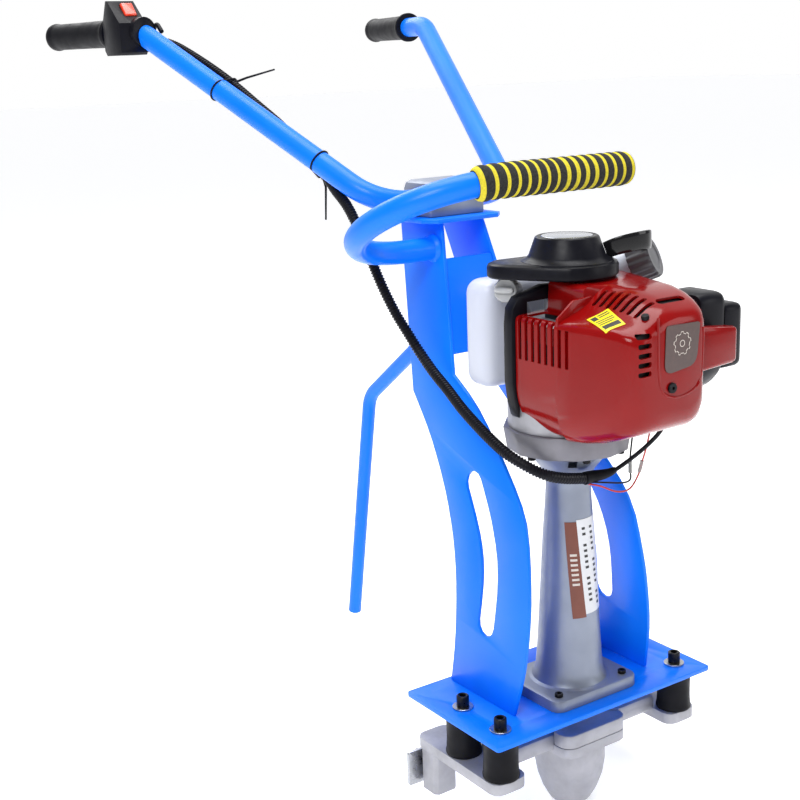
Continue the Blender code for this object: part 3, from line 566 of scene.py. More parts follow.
def engine_cover():
    cover = add("cover_shell", cover_shell(0.0, PAST_FRONT), "red_plastic", None)
    inner = tool(cover_shell(2.4, -144.5, 5.0))
    tools = [inner, tool(rod_shape((0, 0, 270), (0, 0, 334), 61.6, 64)),
             tool(box_shape((-61, -54, 399), (-34, -8, 424), 3)),
             tool(box_shape((48, -96, 329), (90, -54, 372))),
             tool(box_shape((30, -106, 285), (58, -60, 323)))]
    for k in range(8):
        y = -8 - k * 9.2
        top = 403.5 if k > 5 else 420
        tools.append(tool(box_shape((-80, y - 2.2, 367), (-61.8, y + 2.2, top), 0.6, 2)))
    for k in range(5):
        h = 370.5 + k * 8.6
        tools.append(tool(box_shape((-44.5, -170, h - 2.4), (-29.5, -128, h + 2.4), 1.6, 2)))
    for k in range(7):
        y = -69 - k * 9.2
        tools.append(slot_tool((-27, y), (-12 + k * 0.9, y), 4.4, 418, 450))
    tools.append(slot_tool((2, -126), (27, -126), 9, 415, 450))
    cut(cover, *tools)
    shade(cover.data, 35)
    settle(cover, "frame", ("engine_cover",))
    # painted shade: a near-black shell inside the cover darkens what is seen through the slots
    painted_shade_shell = add("cover_painted_shade_shell", cover_shell(4.6, -141.0, 3.0), "painted_shade_black", None)
    cut(painted_shade_shell, tool(rod_shape((0, 0, 270), (0, 0, 334), 64, 48)),
        tool(box_shape((20, -116, 285), (90, -46, 376))), tool(box_shape((-66, -60, 385), (-28, 10, 430))))
    settle(painted_shade_shell, "frame", ())
    wall = box_shape((-61.6, -80, 364), (-60.4, -6, 402))
    trim("cover_slat_wall", wall, "red_plastic")
    ear = bmesh.new()
    for y, x0, x1, h0, h1 in ((-108, 40, 107, 350, 398), (-129, 40, 104, 354, 400)):
        for x, h in ((x0, h0), (x1, h0 + 4), (x1, h1 - 7), (x0, h1)):
            ear.verts.new(P(x, y, h))
    ear.verts.ensure_lookup_table()
    v = ear.verts
    for face in ((0, 1, 2, 3), (7, 6, 5, 4), (0, 4, 5, 1), (1, 5, 6, 2), (2, 6, 7, 3), (3, 7, 4, 0)):
        ear.faces.new([v[i] for i in face])
    trim("cover_ear", ear, "red_plastic", bevel=4.0)
    fin = bmesh.new()
    outline = [(-65.5, 404), (-65.5, 413), (-45, 428.5), (-22, 430), (-12, 424), (-12, 404)]
    rows = [[fin.verts.new(P(x, y, h)) for x, h in outline] for y in (-57.4, -60.6)]
    loft(fin, rows)
    trim("cover_fin", fin, "red_plastic", bevel=1.0)
    lip = [(-22, 420), (-21.5, 404), (-20, 366), (-14, 350), (2, 343), (20, 345), (32, 352), (36, 366),
           (37, 404)]
    line = evenly(world([(x, -147.2 + 0.9 * (x > 34), h) for x, h in rounded_flat(lip)]), 0.003)
    trim("cover_lip", sweep_shape(line, [1.3 * MM] * len(line), 10), "red_plastic")
    head = [(0, 2), (3.4, 2), (3.8, 1.2), (3.8, -3), (0, -3)]
    trim("cover_top_screw", turned_shape(head, (-24, -133, 419.5), (-0.3, -0.2, 1), 20), "black_steel")
    badge()
    sticker()


def flat_plate(name, points, normal, thick, look, lift):
    """Thin plate over a polygon of world points."""
    shape = bmesh.new()
    base = [shape.verts.new(p + normal * lift) for p in points]
    top = [shape.verts.new(p + normal * (lift + thick)) for p in points]
    loft(shape, [base, top])
    return trim(name, shape, look)


def rounded_flat(points):
    """Smooth curve through flat points."""
    return [(p.x, p.y) for p in smooth([(x, h, 0) for x, h in points], 5)]


def badge():
    outline = fillet([(-14, 366, 11), (-12.5, 411.5, 4), (31, 410.5, 4), (27, 371, 11)], 6)
    y = -147.4
    plate = [P(p.x, y, p.y) for p in outline]
    out = Vector((0, -1, 0))
    flat_plate("badge", plate, out, 0.0009, "badge_brown", 0.0001)
    # a plain outlined gear stands in for the printed mark
    for name, radius, teeth, wide in (("badge_ring", 9.5, 9, 0.7), ("badge_hub", 3.2, 0, 0.6)):
        shape = bmesh.new()
        count = 72
        inner, outer = [], []
        for k in range(count):
            angle = 2 * math.pi * k / count
            r = radius + (1.7 if teeth and math.sin(teeth * angle) > 0 else 0.0)
            for found, reach in ((inner, r - wide), (outer, r)):
                found.append(shape.verts.new(P(8 + reach * math.cos(angle), y - 1.15,
                                               393 + reach * math.sin(angle))))
        loft(shape, [inner, outer], capped=False)
        geometry = bmesh.ops.extrude_face_region(shape, geom=shape.faces[:])["geom"]
        moved = [v for v in geometry if isinstance(v, bmesh.types.BMVert)]
        bmesh.ops.translate(shape, verts=moved, vec=(0, 0.0004, 0))
        trim(name, shape, "badge_line")
    head = [(0, 0.8), (1.4, 0.8), (1.6, 2.4), (4.4, 2.4), (5, 1.6), (5, -3), (0, -3)]
    trim("cover_screw", turned_shape(head, (-4, -147.6, 353), (0, -1, 0), 24), "black_steel")


def draped_patch(name, skin, corners, out, thick, look, lift, steps=8):
    """Thin sheet between four corners, each point of its grid dropped on the cover's skin."""
    shape = bmesh.new()
    layers = ([], [])
    for i in range(steps + 1):
        rows = ([], [])
        for j in range(steps + 1):
            left = corners[0].lerp(corners[3], i / steps)
            right = corners[1].lerp(corners[2], i / steps)
            spot = left.lerp(right, j / steps)
            hit = skin.ray_cast(spot + out * 0.03, -out)[0] or spot
            rows[0].append(shape.verts.new(hit + out * lift))
            rows[1].append(shape.verts.new(hit + out * (lift + thick)))
        layers[0].append(rows[0])
        layers[1].append(rows[1])
    slab(shape, layers)
    return trim(name, shape, look)


def sticker():
    """Yellow care sticker on the slope, printed with a made-up sign of bars."""
    corners = [P(-49.5, -84, 411.6), P(-29, -90, 421.8), P(-39.5, -124, 414.6), P(-57.5, -117, 408.6)]
    out = (corners[1] - corners[3]).cross(corners[2] - corners[0]).normalized()
    if out.z < 0:
        out = -out
    shell = cover_shell(0.0, PAST_FRONT)
    skin = BVHTree.FromBMesh(shell)
    draped_patch("care_sticker", skin, corners, out, 0.0003, "sticker_yellow", 0.0002)

    def on_sticker(u, v):
        return corners[0].lerp(corners[1], u).lerp(corners[3].lerp(corners[2], u), v)

    for k, (u0, v0, u1, v1) in enumerate(((0.10, 0.08, 0.34, 0.30), (0.42, 0.08, 0.90, 0.13),
                                          (0.42, 0.19, 0.90, 0.24), (0.10, 0.38, 0.90, 0.42),
                                          (0.10, 0.48, 0.90, 0.52), (0.10, 0.58, 0.74, 0.62),
                                          (0.10, 0.70, 0.90, 0.90))):
        points = [on_sticker(u, v) for u, v in ((u0, v0), (u1, v0), (u1, v1), (u0, v1))]
        draped_patch(f"care_mark_{k}", skin, points, out, 0.0001, "ink", 0.0005, 4)
    shell.free()


# ---------------------------------------------------------------- engine

def recoil():
    brim = bmesh.new()
    outline = []
    for k in range(33):
        angle = math.radians(-130 + 205 * k / 32)
        outline.append((52 * math.cos(angle), 2 + 52 * math.sin(angle)))
    for k in range(17):
        angle = math.radians(95 + 120 * k / 16)
        outline.append((-44 + 26 * math.cos(angle), 30 + 26 * math.sin(angle)))
    rings = []
    centre = Vector((0, 2))
    for h, inset in ((441.3, 1.5), (442.8, 0.0), (451.5, 0.0), (454, 1.2), (455.6, 4.5), (456, 9)):
        ring = []
        for x, y in outline:
            inward = (centre - Vector((x, y))).normalized() * inset
            ring.append(brim.verts.new(P(x + inward.x, y + inward.y, h)))
        rings.append(ring)
    loft(brim, rings)
    add("recoil_brim", brim, "black_plastic", "frame", ("recoil_housing",))
    dome = turned_shape([(0, 479.4), (25.5, 479.4), (26.5, 480), (30, 480), (31.6, 479), (32.6, 476.5),
                         (38, 461.5), (40.5, 458.6), (46, 456.2), (46.5, 449), (0, 449)], steps=64)
    trim("recoil_dome", dome, "black_plastic")
    disc = turned_shape([(0, 480.4), (24.6, 480.4), (25.3, 480), (25.3, 478), (0, 478)], steps=64)
    trim("recoil_disc", disc, "disc_silver")


def starter():
    """Loop-shaped starter handle: a strap bent round beside the recoil's dome."""
    path = world(smooth([(33, -20, 463.5), (40, -30, 468), (52, -38, 471), (68, -40, 472),
                         (79, -34, 471), (83, -26, 469), (78, -20, 467)], 6))
    shape = bmesh.new()
    rings = []
    for i, point in enumerate(path):
        ahead = (path[min(i + 1, len(path) - 1)] - path[max(i - 1, 0)]).normalized()
        side = ahead.cross(Vector((0, 0, 1))).normalized()
        up = side.cross(ahead).normalized()
        half = (8.2 + 1.3 * math.sin(math.pi * i / (len(path) - 1))) * MM
        thick = 1.9 * MM
        ring = []
        for k in range(16):
            angle = 2 * math.pi * k / 16
            c, s = math.cos(angle), math.sin(angle)
            out = side * thick * (abs(c) ** 0.5) * (1 if c > 0 else -1)
            out = out + up * half * (abs(s) ** 0.5) * (1 if s > 0 else -1)
            ring.append(shape.verts.new(point + out))
        rings.append(ring)
    loft(shape, rings)
    add("starter_strap", shape, "black_gloss", "starter_handle", ("starter_handle",), 50)


CAP_CENTRE = (95.0, -10.0, 446.0)
CAP_AXIS = (0.49, -0.78, 0.38)
OIL_CENTRE = (-52.0, 31.0, 428.0)
OIL_AXIS = (-0.83, -0.53, 0.15)


def caps():
    profile = [(0, 10.6), (14, 10.6), (14.6, 11.6), (17, 12), (20, 12), (21.6, 10.6), (22, 9), (22, -9.5),
               (21, -12), (0, -12)]
    add("fuel_cap_skin", turned_shape(profile, CAP_CENTRE, CAP_AXIS, 180, 18, 1.5), "grey_plastic",
        "fuel_cap", ("fuel_cap",), 40)
    profile = [(0, 4.4), (9, 4.4), (10.8, 4.8), (12, 4), (12.5, 2.5), (12.5, -7), (0, -7)]
    add("oil_cap_skin", turned_shape(profile, OIL_CENTRE, OIL_AXIS, 120, 14, 0.6), "light_grey_plastic",
        "oil_cap", ("oil_cap",), 40)
    axis = Vector(OIL_AXIS).normalized()
    across = axis.cross(Vector((0, 0, 1))).normalized()
    middle = Vector(OIL_CENTRE) + axis * 6.8
    wing = [P(*(middle + across * s)) for s in (-9.5, -8.5, -4, 0, 4, 8.5, 9.5)]
    add("oil_cap_wing", sweep_shape(wing, [r * MM for r in (1.6, 2.6, 3.1, 3.2, 3.1, 2.6, 1.6)], 16),
        "light_grey_plastic", "oil_cap", ())


def tank():
    body = add("tank_body", box_shape((-60, 54, 322), (118, 96, 434), 15, 5), "tank_plastic", None)
    axis = Vector(CAP_AXIS).normalized()
    seat = Vector(CAP_CENTRE) - axis * 12.3
    lobe = tool(box_shape((64, 17, 348), (118, 66, 424), 12, 4))
    neck = tool(rod_shape(tuple(seat - axis * 38), tuple(seat), 15, 48))
    cut(body, lobe, neck, operation="UNION")
    shade(body.data, 40)
    settle(body, "frame", ("fuel_tank",))


def air_cleaner():
    """Black air cleaner beside the cover: a deep case and a hinged lid."""
    for name, node, body, x0, x1, outline in (
            ("air_case", "air_cleaner_case", "frame", 84, 118.7,
             [(-100, 344, 30), (-100, 421.5, 12), (-46.5, 421.5, 12), (-46.5, 320.5, 30),
              (-78, 320.5, 30)]),
            ("air_lid", "air_cleaner_cover", "air_cleaner_cover", 119, 144,
             [(-99, 342.4, 8), (-99, 407.6, 8), (-47, 407.6, 8), (-47, 342.4, 8)])):
        ring = fillet(outline, 6)
        shape = bmesh.new()
        rings = []
        depth = x1 - x0
        for along, inset in ((0.0, 1.2), (1.5, 0.0), (depth - 6, 0.0), (depth - 2, 1.4), (depth, 5.0)):
            middle_y = sum(p.x for p in ring) / len(ring)
            middle_h = sum(p.y for p in ring) / len(ring)
            found = []
            for p in ring:
                inward = Vector((middle_y - p.x, middle_h - p.y)).normalized() * inset
                found.append(shape.verts.new(P(x0 + along, p.x + inward.x, p.y + inward.y)))
            rings.append(found)
        loft(shape, rings)
        add(name, shape, "black_plastic", body, (node,), 40)


# ---------------------------------------------------------------- frame

TUBE = 12.5
BAR_Y, BAR_H = 200.0, 504.0
GRIP_BEND = (204.0, 517.0, 695.0)
GRIP_END = (240.0, 689.0, 695.0)
LOOP_LOW = (179.0, 454.0)
LOOP_HIGH = (12.0, 538.0)
LOOP_CENTRE_X = -68.0
LOOP_BULGE = 1.11
FOAM_END = 89.0


def web_x(h):
    """Outer face of a web, which leans in more above its bend."""
    return 91.4 - 0.106 * min(h, 180) - 0.150 * max(0, h - 180)


def loop_point(angle):
    low = Vector((0, *LOOP_LOW))
    high = Vector((0, *LOOP_HIGH))
    half = (high - low) / 2
    bulge = LOOP_CENTRE_X - half.length * LOOP_BULGE * math.sin(angle)
    return (low + high) / 2 - half * math.cos(angle) + Vector((bulge, 0, 0))


def tubes():
    bend = (-GRIP_BEND[0], GRIP_BEND[1], GRIP_BEND[2])
    end = (-GRIP_END[0], GRIP_END[1], GRIP_END[2])
    left = rounded([(0, BAR_Y, BAR_H), (-88, BAR_Y, BAR_H), bend, end], 55)
    path = [Vector((-p.x, p.y, p.z)) for p in left[:0:-1]] + left
    add("handlebar_tube", sweep_shape(world(path), [TUBE * MM] * len(path), 32), "blue_paint",
        "handlebar", ("handlebar",))
    low_end = Vector((-web_x(LOOP_LOW[1]) - 2.6, *LOOP_LOW))
    points = [low_end] + [loop_point(math.pi * k / 36) for k in range(37)]
    points.append(Vector((FOAM_END - 6, *LOOP_HIGH)))
    add("carry_loop", sweep_shape(world(points), [TUBE * MM] * len(points), 32), "blue_paint",
        "frame", ("loop_handle",))
    weld = world([low_end + Vector((-d, 0, 0)) for d in (0, 1.5, 3, 5)])
    trim("loop_weld", sweep_shape(weld, [r * MM for r in (15.6, 15.2, 13.8, 12.5)], 32), "blue_paint")
    y, h = 203, 372
    leg = rounded([(0, y + 4, h - 4), (0, 371, 248), (0, 431, -59)], 40)
    add("stand_leg", sweep_shape(world(leg), [8.3 * MM] * len(leg), 28), "blue_paint", "kickstand",
        ("kickstand",))
    eye = turned_shape([(8.2, 12), (11.6, 12), (12.5, 11), (12.5, -11), (11.6, -12), (8.2, -12), (8.2, 12)],
                       (0, y, h), (1, 0, 0), 40)
    add("stand_eye", eye, "blue_paint", "kickstand", ())
    add("stand_tip", rod_shape((0, 430.7, -57.6), (0, 431.02, -59.0), 8.0, 28), "black_rubber", "kickstand",
        ())


def foam():
    """Ringed foam sleeve: dark swells with yellow grooves between them."""
    step = 1.1
    pitch = 12.2
    groove = 0.30                  # share of the pitch that is yellow
    bend = [loop_point(math.pi * (1 - 0.1 + 0.1 * k / 12)) for k in range(13)]
    line = evenly(world(bend + [Vector((FOAM_END, *LOOP_HIGH))]), 0.0011)
    shape = bmesh.new()
    rings = []
    inks = []
    total = len(line) - 1
    for i, point in enumerate(line):
        share = (i * step % pitch) / pitch
        yellow = share < groove
        radius = 16.4 if yellow else 16.4 + 1.0 * math.sin(math.pi * (share - groove) / 0.70) ** 0.5
        edge = min(i, total - i) * step
        if edge < 3.0:
            radius -= (3.0 - edge) ** 2 * 0.3
        ahead = (line[min(i + 1, total)] - line[max(i - 1, 0)]).normalized()
        up = Vector((1, 0, 0)).cross(ahead)
        up = Vector((0, 0, 1)) - ahead * ahead.z if up.length < 0.5 else up
        up.normalize()
        side = ahead.cross(up).normalized()
        rings.append([shape.verts.new(point + (side * math.cos(a) + up * math.sin(a)) * radius * MM)
                      for a in [2 * math.pi * k / 40 for k in range(40)]])
        inks.append(1 if yellow else 0)
    for i, (a, b) in enumerate(zip(rings, rings[1:])):
        for k in range(40):
            n = (k + 1) % 40
            face = shape.faces.new((a[k], a[n], b[n], b[k]))
            face.material_index = inks[i]
    for ring in (rings[0], rings[-1]):
        shape.faces.new(ring)
    sleeve = add("foam_sleeve", shape, "foam_black", None, smooth=50)
    sleeve.data.materials.append(MATERIALS["foam_yellow"])
    settle(sleeve, "frame", ("foam_grip",))


def column():
    profile = [(0, 265.5), (39.8, 265.5), (41, 264.8), (41, 261.6), (40, 259.5), (33, 250), (28, 243.6),
               (25, 238), (23.4, 231), (23.2, 222), (24, 208), (25.2, 191), (26.5, 175), (29, 130),
               (31.5, 85),
               (33, 58), (34.5, 36), (35.6, 25), (37, 18), (39.5, 13.6), (43, 12.1), (43, 8), (0, 8)]
    post = turned_shape(profile, steps=72)
    post = add("column_post", post, "silver_casting", None)
    turn = Matrix.Rotation(math.radians(-34), 3, "Z")
    window = box_shape((-4.5, -60, 251.5), (4.5, -20, 259.5), turn=turn, around=(0, 0, 255))
    bore = rod_shape((0, 0, 240), (0, 0, 280), 14.4, 40)
    cut(post, tool(window), tool(bore))
    shade(post.data, 30)
    settle(post, "frame", ("column",))
    foot = bmesh.new()
    outline = []
    for cx, cy, start in ((45, 35, 0), (-45, 35, 90), (-45, -35, 180), (45, -35, 270)):
        for k in range(9):
            angle = math.radians(start + 90 * k / 8)
            outline.append((cx + 12 * math.cos(angle), cy + 12 * math.sin(angle)))
    rings = []
    for h, inset in ((0.3, 0.0), (10.2, 0.0), (11.5, 0.6), (12.1, 2.0)):
        ring = []
        for x, y in outline:
            ring.append(foot.verts.new(P(x * (1 - inset / 57), y * (1 - inset / 47), h)))
        rings.append(ring)
    loft(foot, rings)
    trim("column_foot", foot, "silver_casting", 40)
    for x in (-44, 44):
        for y in (-34, 34):
            socket_screw("foot_bolt", (x, y, 12.2), (0, 0, 1), 4.4, 3.6)
    column_label()
    for angle in (-172, -112, -60, 30, 120):
        x, y = math.cos(math.radians(angle)), math.sin(math.radians(angle))
        socket_screw("housing_bolt", (x * 55, y * 55, 265.8), (0, 0, -1), 4.2, 3.6)
    # painted shade: a near-black plug inside the column's bore darkens the hole
    trim("column_painted_shade", turned_shape([(0, 262), (14, 262), (14, 250), (0, 250)], steps=24), "painted_shade_black")


COLUMN_SIDE = [(208, 24.0), (191, 25.2), (175, 26.5), (130, 29.0), (85, 31.5), (58, 33.0)]


def column_radius(h):
    for (top, small), (low, wide) in zip(COLUMN_SIDE, COLUMN_SIDE[1:]):
        if h >= low:
            return small + (wide - small) * (top - h) / (top - low)
    return COLUMN_SIDE[-1][1]


LABEL_TOP, LABEL_LOW = 193.0, 88.0
LABEL_START, LABEL_LEAN = -141.0, 17.0        # degrees round the column; turn from top to bottom
LABEL_WIDE = 92.0
LABEL_THICK = 0.25


def label_patch(shape, u0, v0, u1, v1, lift):
    """Closed patch on the column's label; u runs round the column and v down it."""
    wide = max(1, round(abs(u1 - u0) * 18))
    tall = max(1, round(abs(v1 - v0) * 14))
    layers = []
    for height in (lift, lift + LABEL_THICK):
        rows = []
        for i in range(tall + 1):
            v = v0 + (v1 - v0) * i / tall
            h = LABEL_TOP + (LABEL_LOW - LABEL_TOP) * v
            row = []
            for k in range(wide + 1):
                u = u0 + (u1 - u0) * k / wide
                angle = math.radians(LABEL_START + LABEL_LEAN * v + LABEL_WIDE * u)
                r = column_radius(h) + height
                row.append(shape.verts.new(P(r * math.cos(angle), r * math.sin(angle), h)))
            rows.append(row)
        layers.append(rows)
    slab(shape, layers)


def column_label():
    """Brown and white label; plain bars stand in for its print."""
    for name, look, slot, areas, lift in (
            ("label_brown", "sticker_brown", "red", [(0, 0.02, 0.30, 1.0)], 0.25),
            ("label_white", "sticker_white", "tank", [(0.30, 0.0, 1.0, 0.97)], 0.25),
            ("label_bars", "badge_line", "tank",
             [(0.07, v, 0.23, v + 0.022) for v in (0.34, 0.39, 0.44, 0.49, 0.54, 0.59, 0.64)], 0.5),
            ("label_marks", "ink", "black_plastic",
             [(u, 0.08 + 0.057 * k, u + 0.09, 0.105 + 0.057 * k) for k in range(15)
              for u in (0.42, 0.66) if (k + round(u * 10)) % 6], 0.5)):
        shape = bmesh.new()
        for area in areas:
            label_patch(shape, *area, lift)
        trim(name, shape, look, 50)


BOLTS = {}


def socket_screw(name, place, axis, radius, tall):
    """Socket-head screw on the frame."""
    BOLTS[name] = BOLTS.get(name, 0) + 1
    label = f"{name}_{BOLTS[name]}"
    profile = [(0, tall * 0.45), (radius * 0.52, tall * 0.45), (radius * 0.56, tall * 0.98),
               (radius * 0.6, tall), (radius * 0.9, tall), (radius, tall - 0.7), (radius, 0), (0, 0)]
    trim(label, turned_shape(profile, place, axis, 30), "black_steel", 30)


def isolators():
    for x, left in ((-121.5, "left"), (121.5, "right")):
        for y, end in ((-34.5, "front"), (27.5, "rear")):
            word = f"{end}_{left}"
            profile = [(0, -5.3), (18.2, -5.3), (18.6, -7), (18.6, -9), (17.9, -11), (17.5, -20), (17.4, -28),
                       (17.5, -36), (17.9, -45), (18.6, -47), (18.6, -49), (18.2, -50), (0, -50)]
            profile = [(min(r * 1.02, 19), h) if r else (r, h) for r, h in profile]
            skin = add("isolator_" + word + "_skin", turned_shape(profile, (x, y, 0), steps=48),
                       "black_rubber", None)
            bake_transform(skin)
            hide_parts("isolator_" + word)
            shank = [(0, 5.2), (3.4, 5.2), (3.7, 13.6), (5.3, 14), (6.5, 13.2), (6.6, 12), (6.6, 2.1),
                     (0, 2.1)]
            add("mount_screw_" + word, turned_shape(shank, (x, y, 0), steps=30), "black_steel", "frame",
                ("isolator_bolt_" + word,))
            ring = [(0, 2), (10.6, 2), (11, 1.7), (11, 0.3), (0, 0.3)]
            trim("mount_washer_" + word, turned_shape(ring, (x, y, 0), steps=40), "steel")


# ---------------------------------------------------------------- handlebar parts

def grips():
    for side, word in ((-1, "left"), (1, "right")):
        ahead = Vector((side * (GRIP_END[0] - GRIP_BEND[0]), GRIP_END[1] - GRIP_BEND[1], 0)).normalized()
        near = Vector((side * GRIP_END[0], GRIP_END[1], GRIP_END[2])) - ahead * 124
        profile = [(0, 128), (12.4, 128), (14.6, 127.2), (16.2, 125.2), (16.6, 122.5), (16.2, 119),
                   (15.6, 117),
                   (15.6, 112), (15.7, 60), (16.1, 14), (16.5, 8), (18.8, 5.4), (19, 4.4), (19, 0.6),
                   (18.4, 0), (0, 0)]
        add("grip_" + word + "_skin", turned_shape(profile, tuple(near), tuple(ahead), 48),
            "black_rubber", "handlebar", ("grip_" + word,), 45)


# ---------------------------------------------------------------- cords

CONDUIT = [(-178, 500, 681), (-171.2, 481.6, 674.3), (-158.5, 444.4, 655.4), (-145.5, 408.8, 633.9),
           (-132.2, 375.3, 609.1), (-119.6, 341.6, 584.2), (-109.8, 308.8, 556.1), (-104.5, 274, 529),
           (-105, 258, 517.5), (-106, 235, 503), (-105, 217, 482), (-102, 206, 460), (-98, 197, 437),
           (-93, 188, 414), (-85, 179, 389), (-78, 170, 370), (-72, 158, 350.5), (-69, 136, 330),
           (-70, 111, 316.5), (-74, 80, 301.5), (-78, 50, 290.5), (-81, 22, 281), (-81, -1.5, 272.5),
           (-74, -19, 264), (-64, -30, 256.5), (-53, -36, 251.5), (-34, -38, 246), (-8, -38, 241)]
CABLE = [(-6, -38, 241), (10, -44, 243), (21, -46, 245), (32, -56, 256), (42, -70, 272), (48, -82, 288),
         (49, -90, 303)]
WIRE_BLACK = [(-7, -42.2, 237.5), (12, -46, 234), (30, -48, 230.5), (40, -49, 232), (39, -50, 243),
              (38, -51, 258), (37, -55, 281)]
WIRE_RED = [(-7, -38, 234.7), (5, -43, 231), (24, -46, 222), (42, -46, 221), (52, -48, 234), (54, -52, 250),
            (52, -60, 268), (50, -66, 285)]


def free_cord(name, route, radius, look, node):
    """Cord that hangs free between two points of the machine."""
    line = evenly(world(smooth(route, 6)), 0.002)
    made = add(name, sweep_shape(line, [radius * MM] * len(line), 14), look, "frame", (node,))


def cords():
    line = evenly(world(smooth(CONDUIT, 8)), 0.00085)
    radii = [(5.8, 5.8, 4.85, 4.85)[i % 4] * MM for i in range(len(line))]
    shape = sweep_shape(line, radii, 14)
    conduit = add("conduit_skin", shape, "black_plastic", None, smooth=40)
    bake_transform(conduit)
    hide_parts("conduit")
    low_end, high_end = Vector((-88, BAR_Y, BAR_H)), Vector((-GRIP_BEND[0], GRIP_BEND[1], GRIP_BEND[2]))
    along = (high_end - low_end).normalized()
    route = smooth(CONDUIT, 8)
    for name, y, tail in (("tie_upper", 404, [(0, 0, 0), (12, -3, 4), (46, -8, 12)]),
                          ("tie_lower", 273, [(0, 0, 0), (1, -4, -12), (-1, -4, -48)])):
        centre = low_end + along * ((y - low_end.y) / along.y)
        near = min(route, key=lambda p: (p - centre - along * (p - centre).dot(along)).length
                   + abs((p - centre).dot(along)) * 5)
        across = near - centre
        across = across - along * across.dot(along)
        gap = across.length
        across.normalize()
        side = along.cross(across)
        loop = []
        for middle, radius, start, end in ((centre, 13.2, 100, 260), (centre + across * gap, 6.4, -80, 80)):
            for k in range(13):
                angle = math.radians(start + (end - start) * k / 12)
                loop.append(middle + (across * math.cos(angle) + side * math.sin(angle)) * radius)
        loop.append(loop[0])
        add(name, sweep_shape(world(loop), [1.1 * MM] * len(loop), 8), "black_plastic", "handlebar", ())
        head = centre + across * (gap + 6.6)
        strip = world([head + Vector(step) for step in tail])
        add(name + "_tail", sweep_shape(strip, [1.5 * MM, 1.3 * MM, 1.0 * MM], 8), "black_plastic",
            "handlebar", ())
    free_cord("cable_skin", CABLE, 2.2, "black_plastic", "throttle_cable")
    boot = world(smooth([(-12, -38, 241.4), (-2, -38.8, 241.6), (8, -42.8, 242.6), (16, -44.8, 243.8),
                         (22, -46.6, 246)], 3))
    radii = [r * MM for r in (6.6, 6.6, 6.5, 6.3, 6.0, 5.6, 5.2, 4.9, 4.5, 4.2, 3.9, 3.4, 2.9)]
    trim("cable_boot", sweep_shape(boot, radii, 18), "black_rubber")
    free_cord("wire_black_skin", WIRE_BLACK, 0.9, "black_plastic", "wire_black")
    free_cord("wire_red_skin", WIRE_RED, 0.9, "red_wire", "wire_red")
    for name, a, b in (("connector_black", (39, -50, 240), (38.2, -50.8, 254)),
                       ("connector_red", (52.6, -49, 238), (53.8, -51.6, 250))):
        trim(name, rod_shape(a, b, 2.0, 16), "clear_sleeve")


# ---------------------------------------------------------------- stage

def floor_and_world():
    """Pale floor, and a world that is white behind the object and dark on the side it is seen from."""
    floor = bmesh.new()
    bmesh.ops.create_grid(floor, x_segments=1, y_segments=1, size=30.0)
    ground = add("studio_floor", floor, None, None)
    look = Look("studio_floor", (0.96, 0.96, 0.965), 0.7)
    look.tint(look.noise(0.5, 3.0), 0.995, 1.0)
    look.set("Emission Color", (1.0, 1.0, 1.0, 1.0))
    look.set("Emission Strength", 0.45)
    ground.data.materials.append(look.material)
    ground.location = (0, 0, -0.0005)
    world_look = bpy.data.worlds.new("studio")
    SCENE.world = world_look
    world_look.use_nodes = True
    tree = world_look.node_tree
    background = tree.nodes["Background"]
    place = tree.nodes.new("ShaderNodeTexCoord")
    facing = tree.nodes.new("ShaderNodeVectorMath")
    facing.operation = "DOT_PRODUCT"
    facing.inputs[1].default_value = (0.54, 0.80, 0.25)
    tree.links.new(place.outputs["Generated"], facing.inputs[0])
    ramp = tree.nodes.new("ShaderNodeValToRGB")
    first, last = ramp.color_ramp.elements
    first.position = 0.30
    first.color = (0.24, 0.25, 0.27, 1.0)
    last.position = 0.56
    last.color = (1.0, 1.0, 1.0, 1.0)
    tree.links.new(facing.outputs["Value"], ramp.inputs["Fac"])
    tree.links.new(ramp.outputs["Color"], background.inputs["Color"])
    background.inputs["Strength"].default_value = 1.0


def lamps():
    for name, place, size, power in (("key", (-1.9, -1.2, 2.3), 1.1, 44),
                                     ("fill", (1.6, -2.2, 1.3), 1.2, 12),
                                     ("top", (0.1, 0.2, 3.0), 1.8, 62),
                                     ("back", (0.4, 2.6, 2.4), 1.6, 24)):
        lamp = bpy.data.lights.new(name, "AREA")
        lamp.energy = power
        lamp.size = size
        thing = bpy.data.objects.new(name, lamp)
        SCENE.collection.objects.link(thing)
        thing.location = place
        aim = Vector((0.0, 0.1, 0.45)) - Vector(place)
        thing.rotation_euler = aim.to_track_quat("-Z", "Y").to_euler()


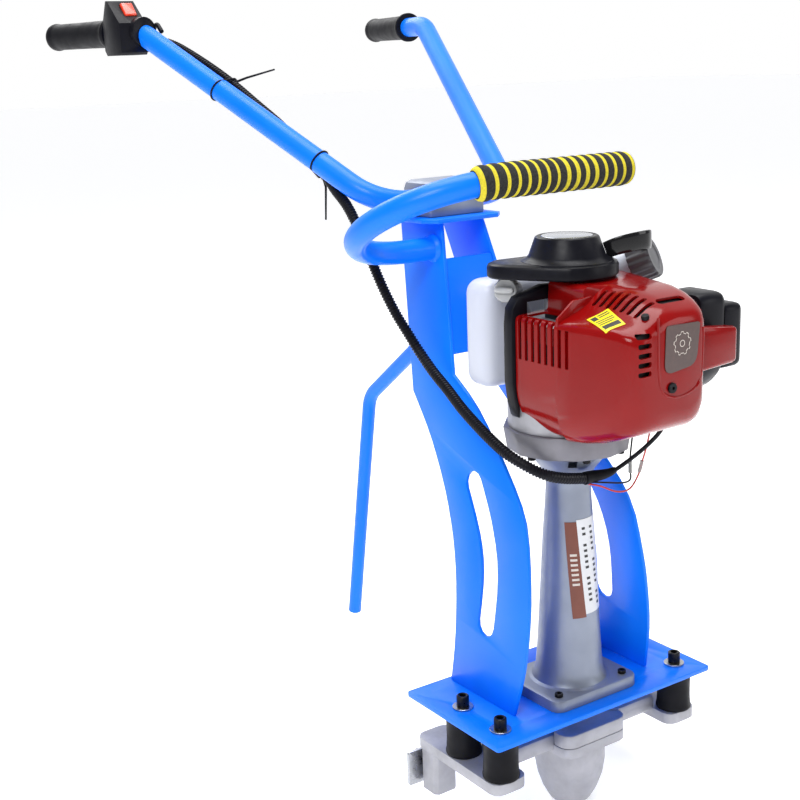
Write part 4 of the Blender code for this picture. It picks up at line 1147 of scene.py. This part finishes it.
def camera():
    lens = bpy.data.cameras.new("camera")
    lens.lens = 60.14
    lens.sensor_width = 36
    lens.clip_start = 0.01
    thing = bpy.data.objects.new("camera", lens)
    SCENE.collection.objects.link(thing)
    right = Vector((0.8243, -0.5650, -0.0360))
    up = Vector((0.1683, 0.1838, 0.9685))
    back = Vector((-0.5406, -0.8044, 0.2465))
    turn = Matrix((right, up, back)).transposed().to_4x4()
    thing.matrix_world = Matrix.Translation((-0.8709, -0.9918, 0.7884)) @ turn
    SCENE.camera = thing


CAD_LOOKS = {
    "exciter_casting": ("cast_aluminium", 1.6), "exciter_cover": ("cast_aluminium", 1.0),
    "base_plate": ("blue_paint", 0.6), "web_left": ("blue_paint", 0.5), "web_right": ("blue_paint", 0.5),
    "front_cross_plate": ("blue_paint", 0.5), "top_plate": ("blue_paint", 0.6),
    "stand_pivot_bar": ("blue_paint", 0.5), "clamp_base": ("silver_casting", 1.0),
    "clamp_cap": ("silver_casting", 1.0), "clutch_housing": ("dark_casting", 1.2),
    "crankcase": ("cast_aluminium", 0.8), "shroud_plate": ("black_plastic", 1.0),
    "switch_housing": ("black_plastic", 1.0), "stop_switch": ("orange_plastic", 0.5),
    "throttle_lever": ("black_plastic", 0.4), "muffler": ("black_steel", 0.8),
    "carburettor": ("cast_aluminium", 0.8), "throttle_arm": ("steel", 0.2),
    "clamp_jaw_left": ("steel", 0.5), "clamp_jaw_right": ("steel", 0.5),
    "clamp_screw_left": ("black_steel", 0.4), "clamp_screw_right": ("black_steel", 0.4),
}
PLAIN_LOOKS = {
    "exciter_bearing": "steel", "shaft_bearing": "steel", "drive_shaft": "steel", "clutch_drum": "steel",
    "crankshaft": "steel", "flywheel": "cast_aluminium", "clutch_shoes": "black_steel",
    "eccentric_shaft": "steel", "cylinder": "cast_aluminium",
}


def cad_pieces():
    for node, (look, bevel) in CAD_LOOKS.items():
        copy_of(node, look, bevel)
    for node, look in PLAIN_LOOKS.items():
        NODES[node].data.materials.clear()
        NODES[node].data.materials.append(MATERIALS[look])


def main():
    SCENE.view_settings.view_transform = "Standard"
    make_materials()
    camera()
    cords()
    cad_pieces()
    engine_cover()
    recoil()
    starter()
    caps()
    tank()
    air_cleaner()
    tubes()
    foam()
    column()
    isolators()
    grips()
    floor_and_world()
    lamps()


main()
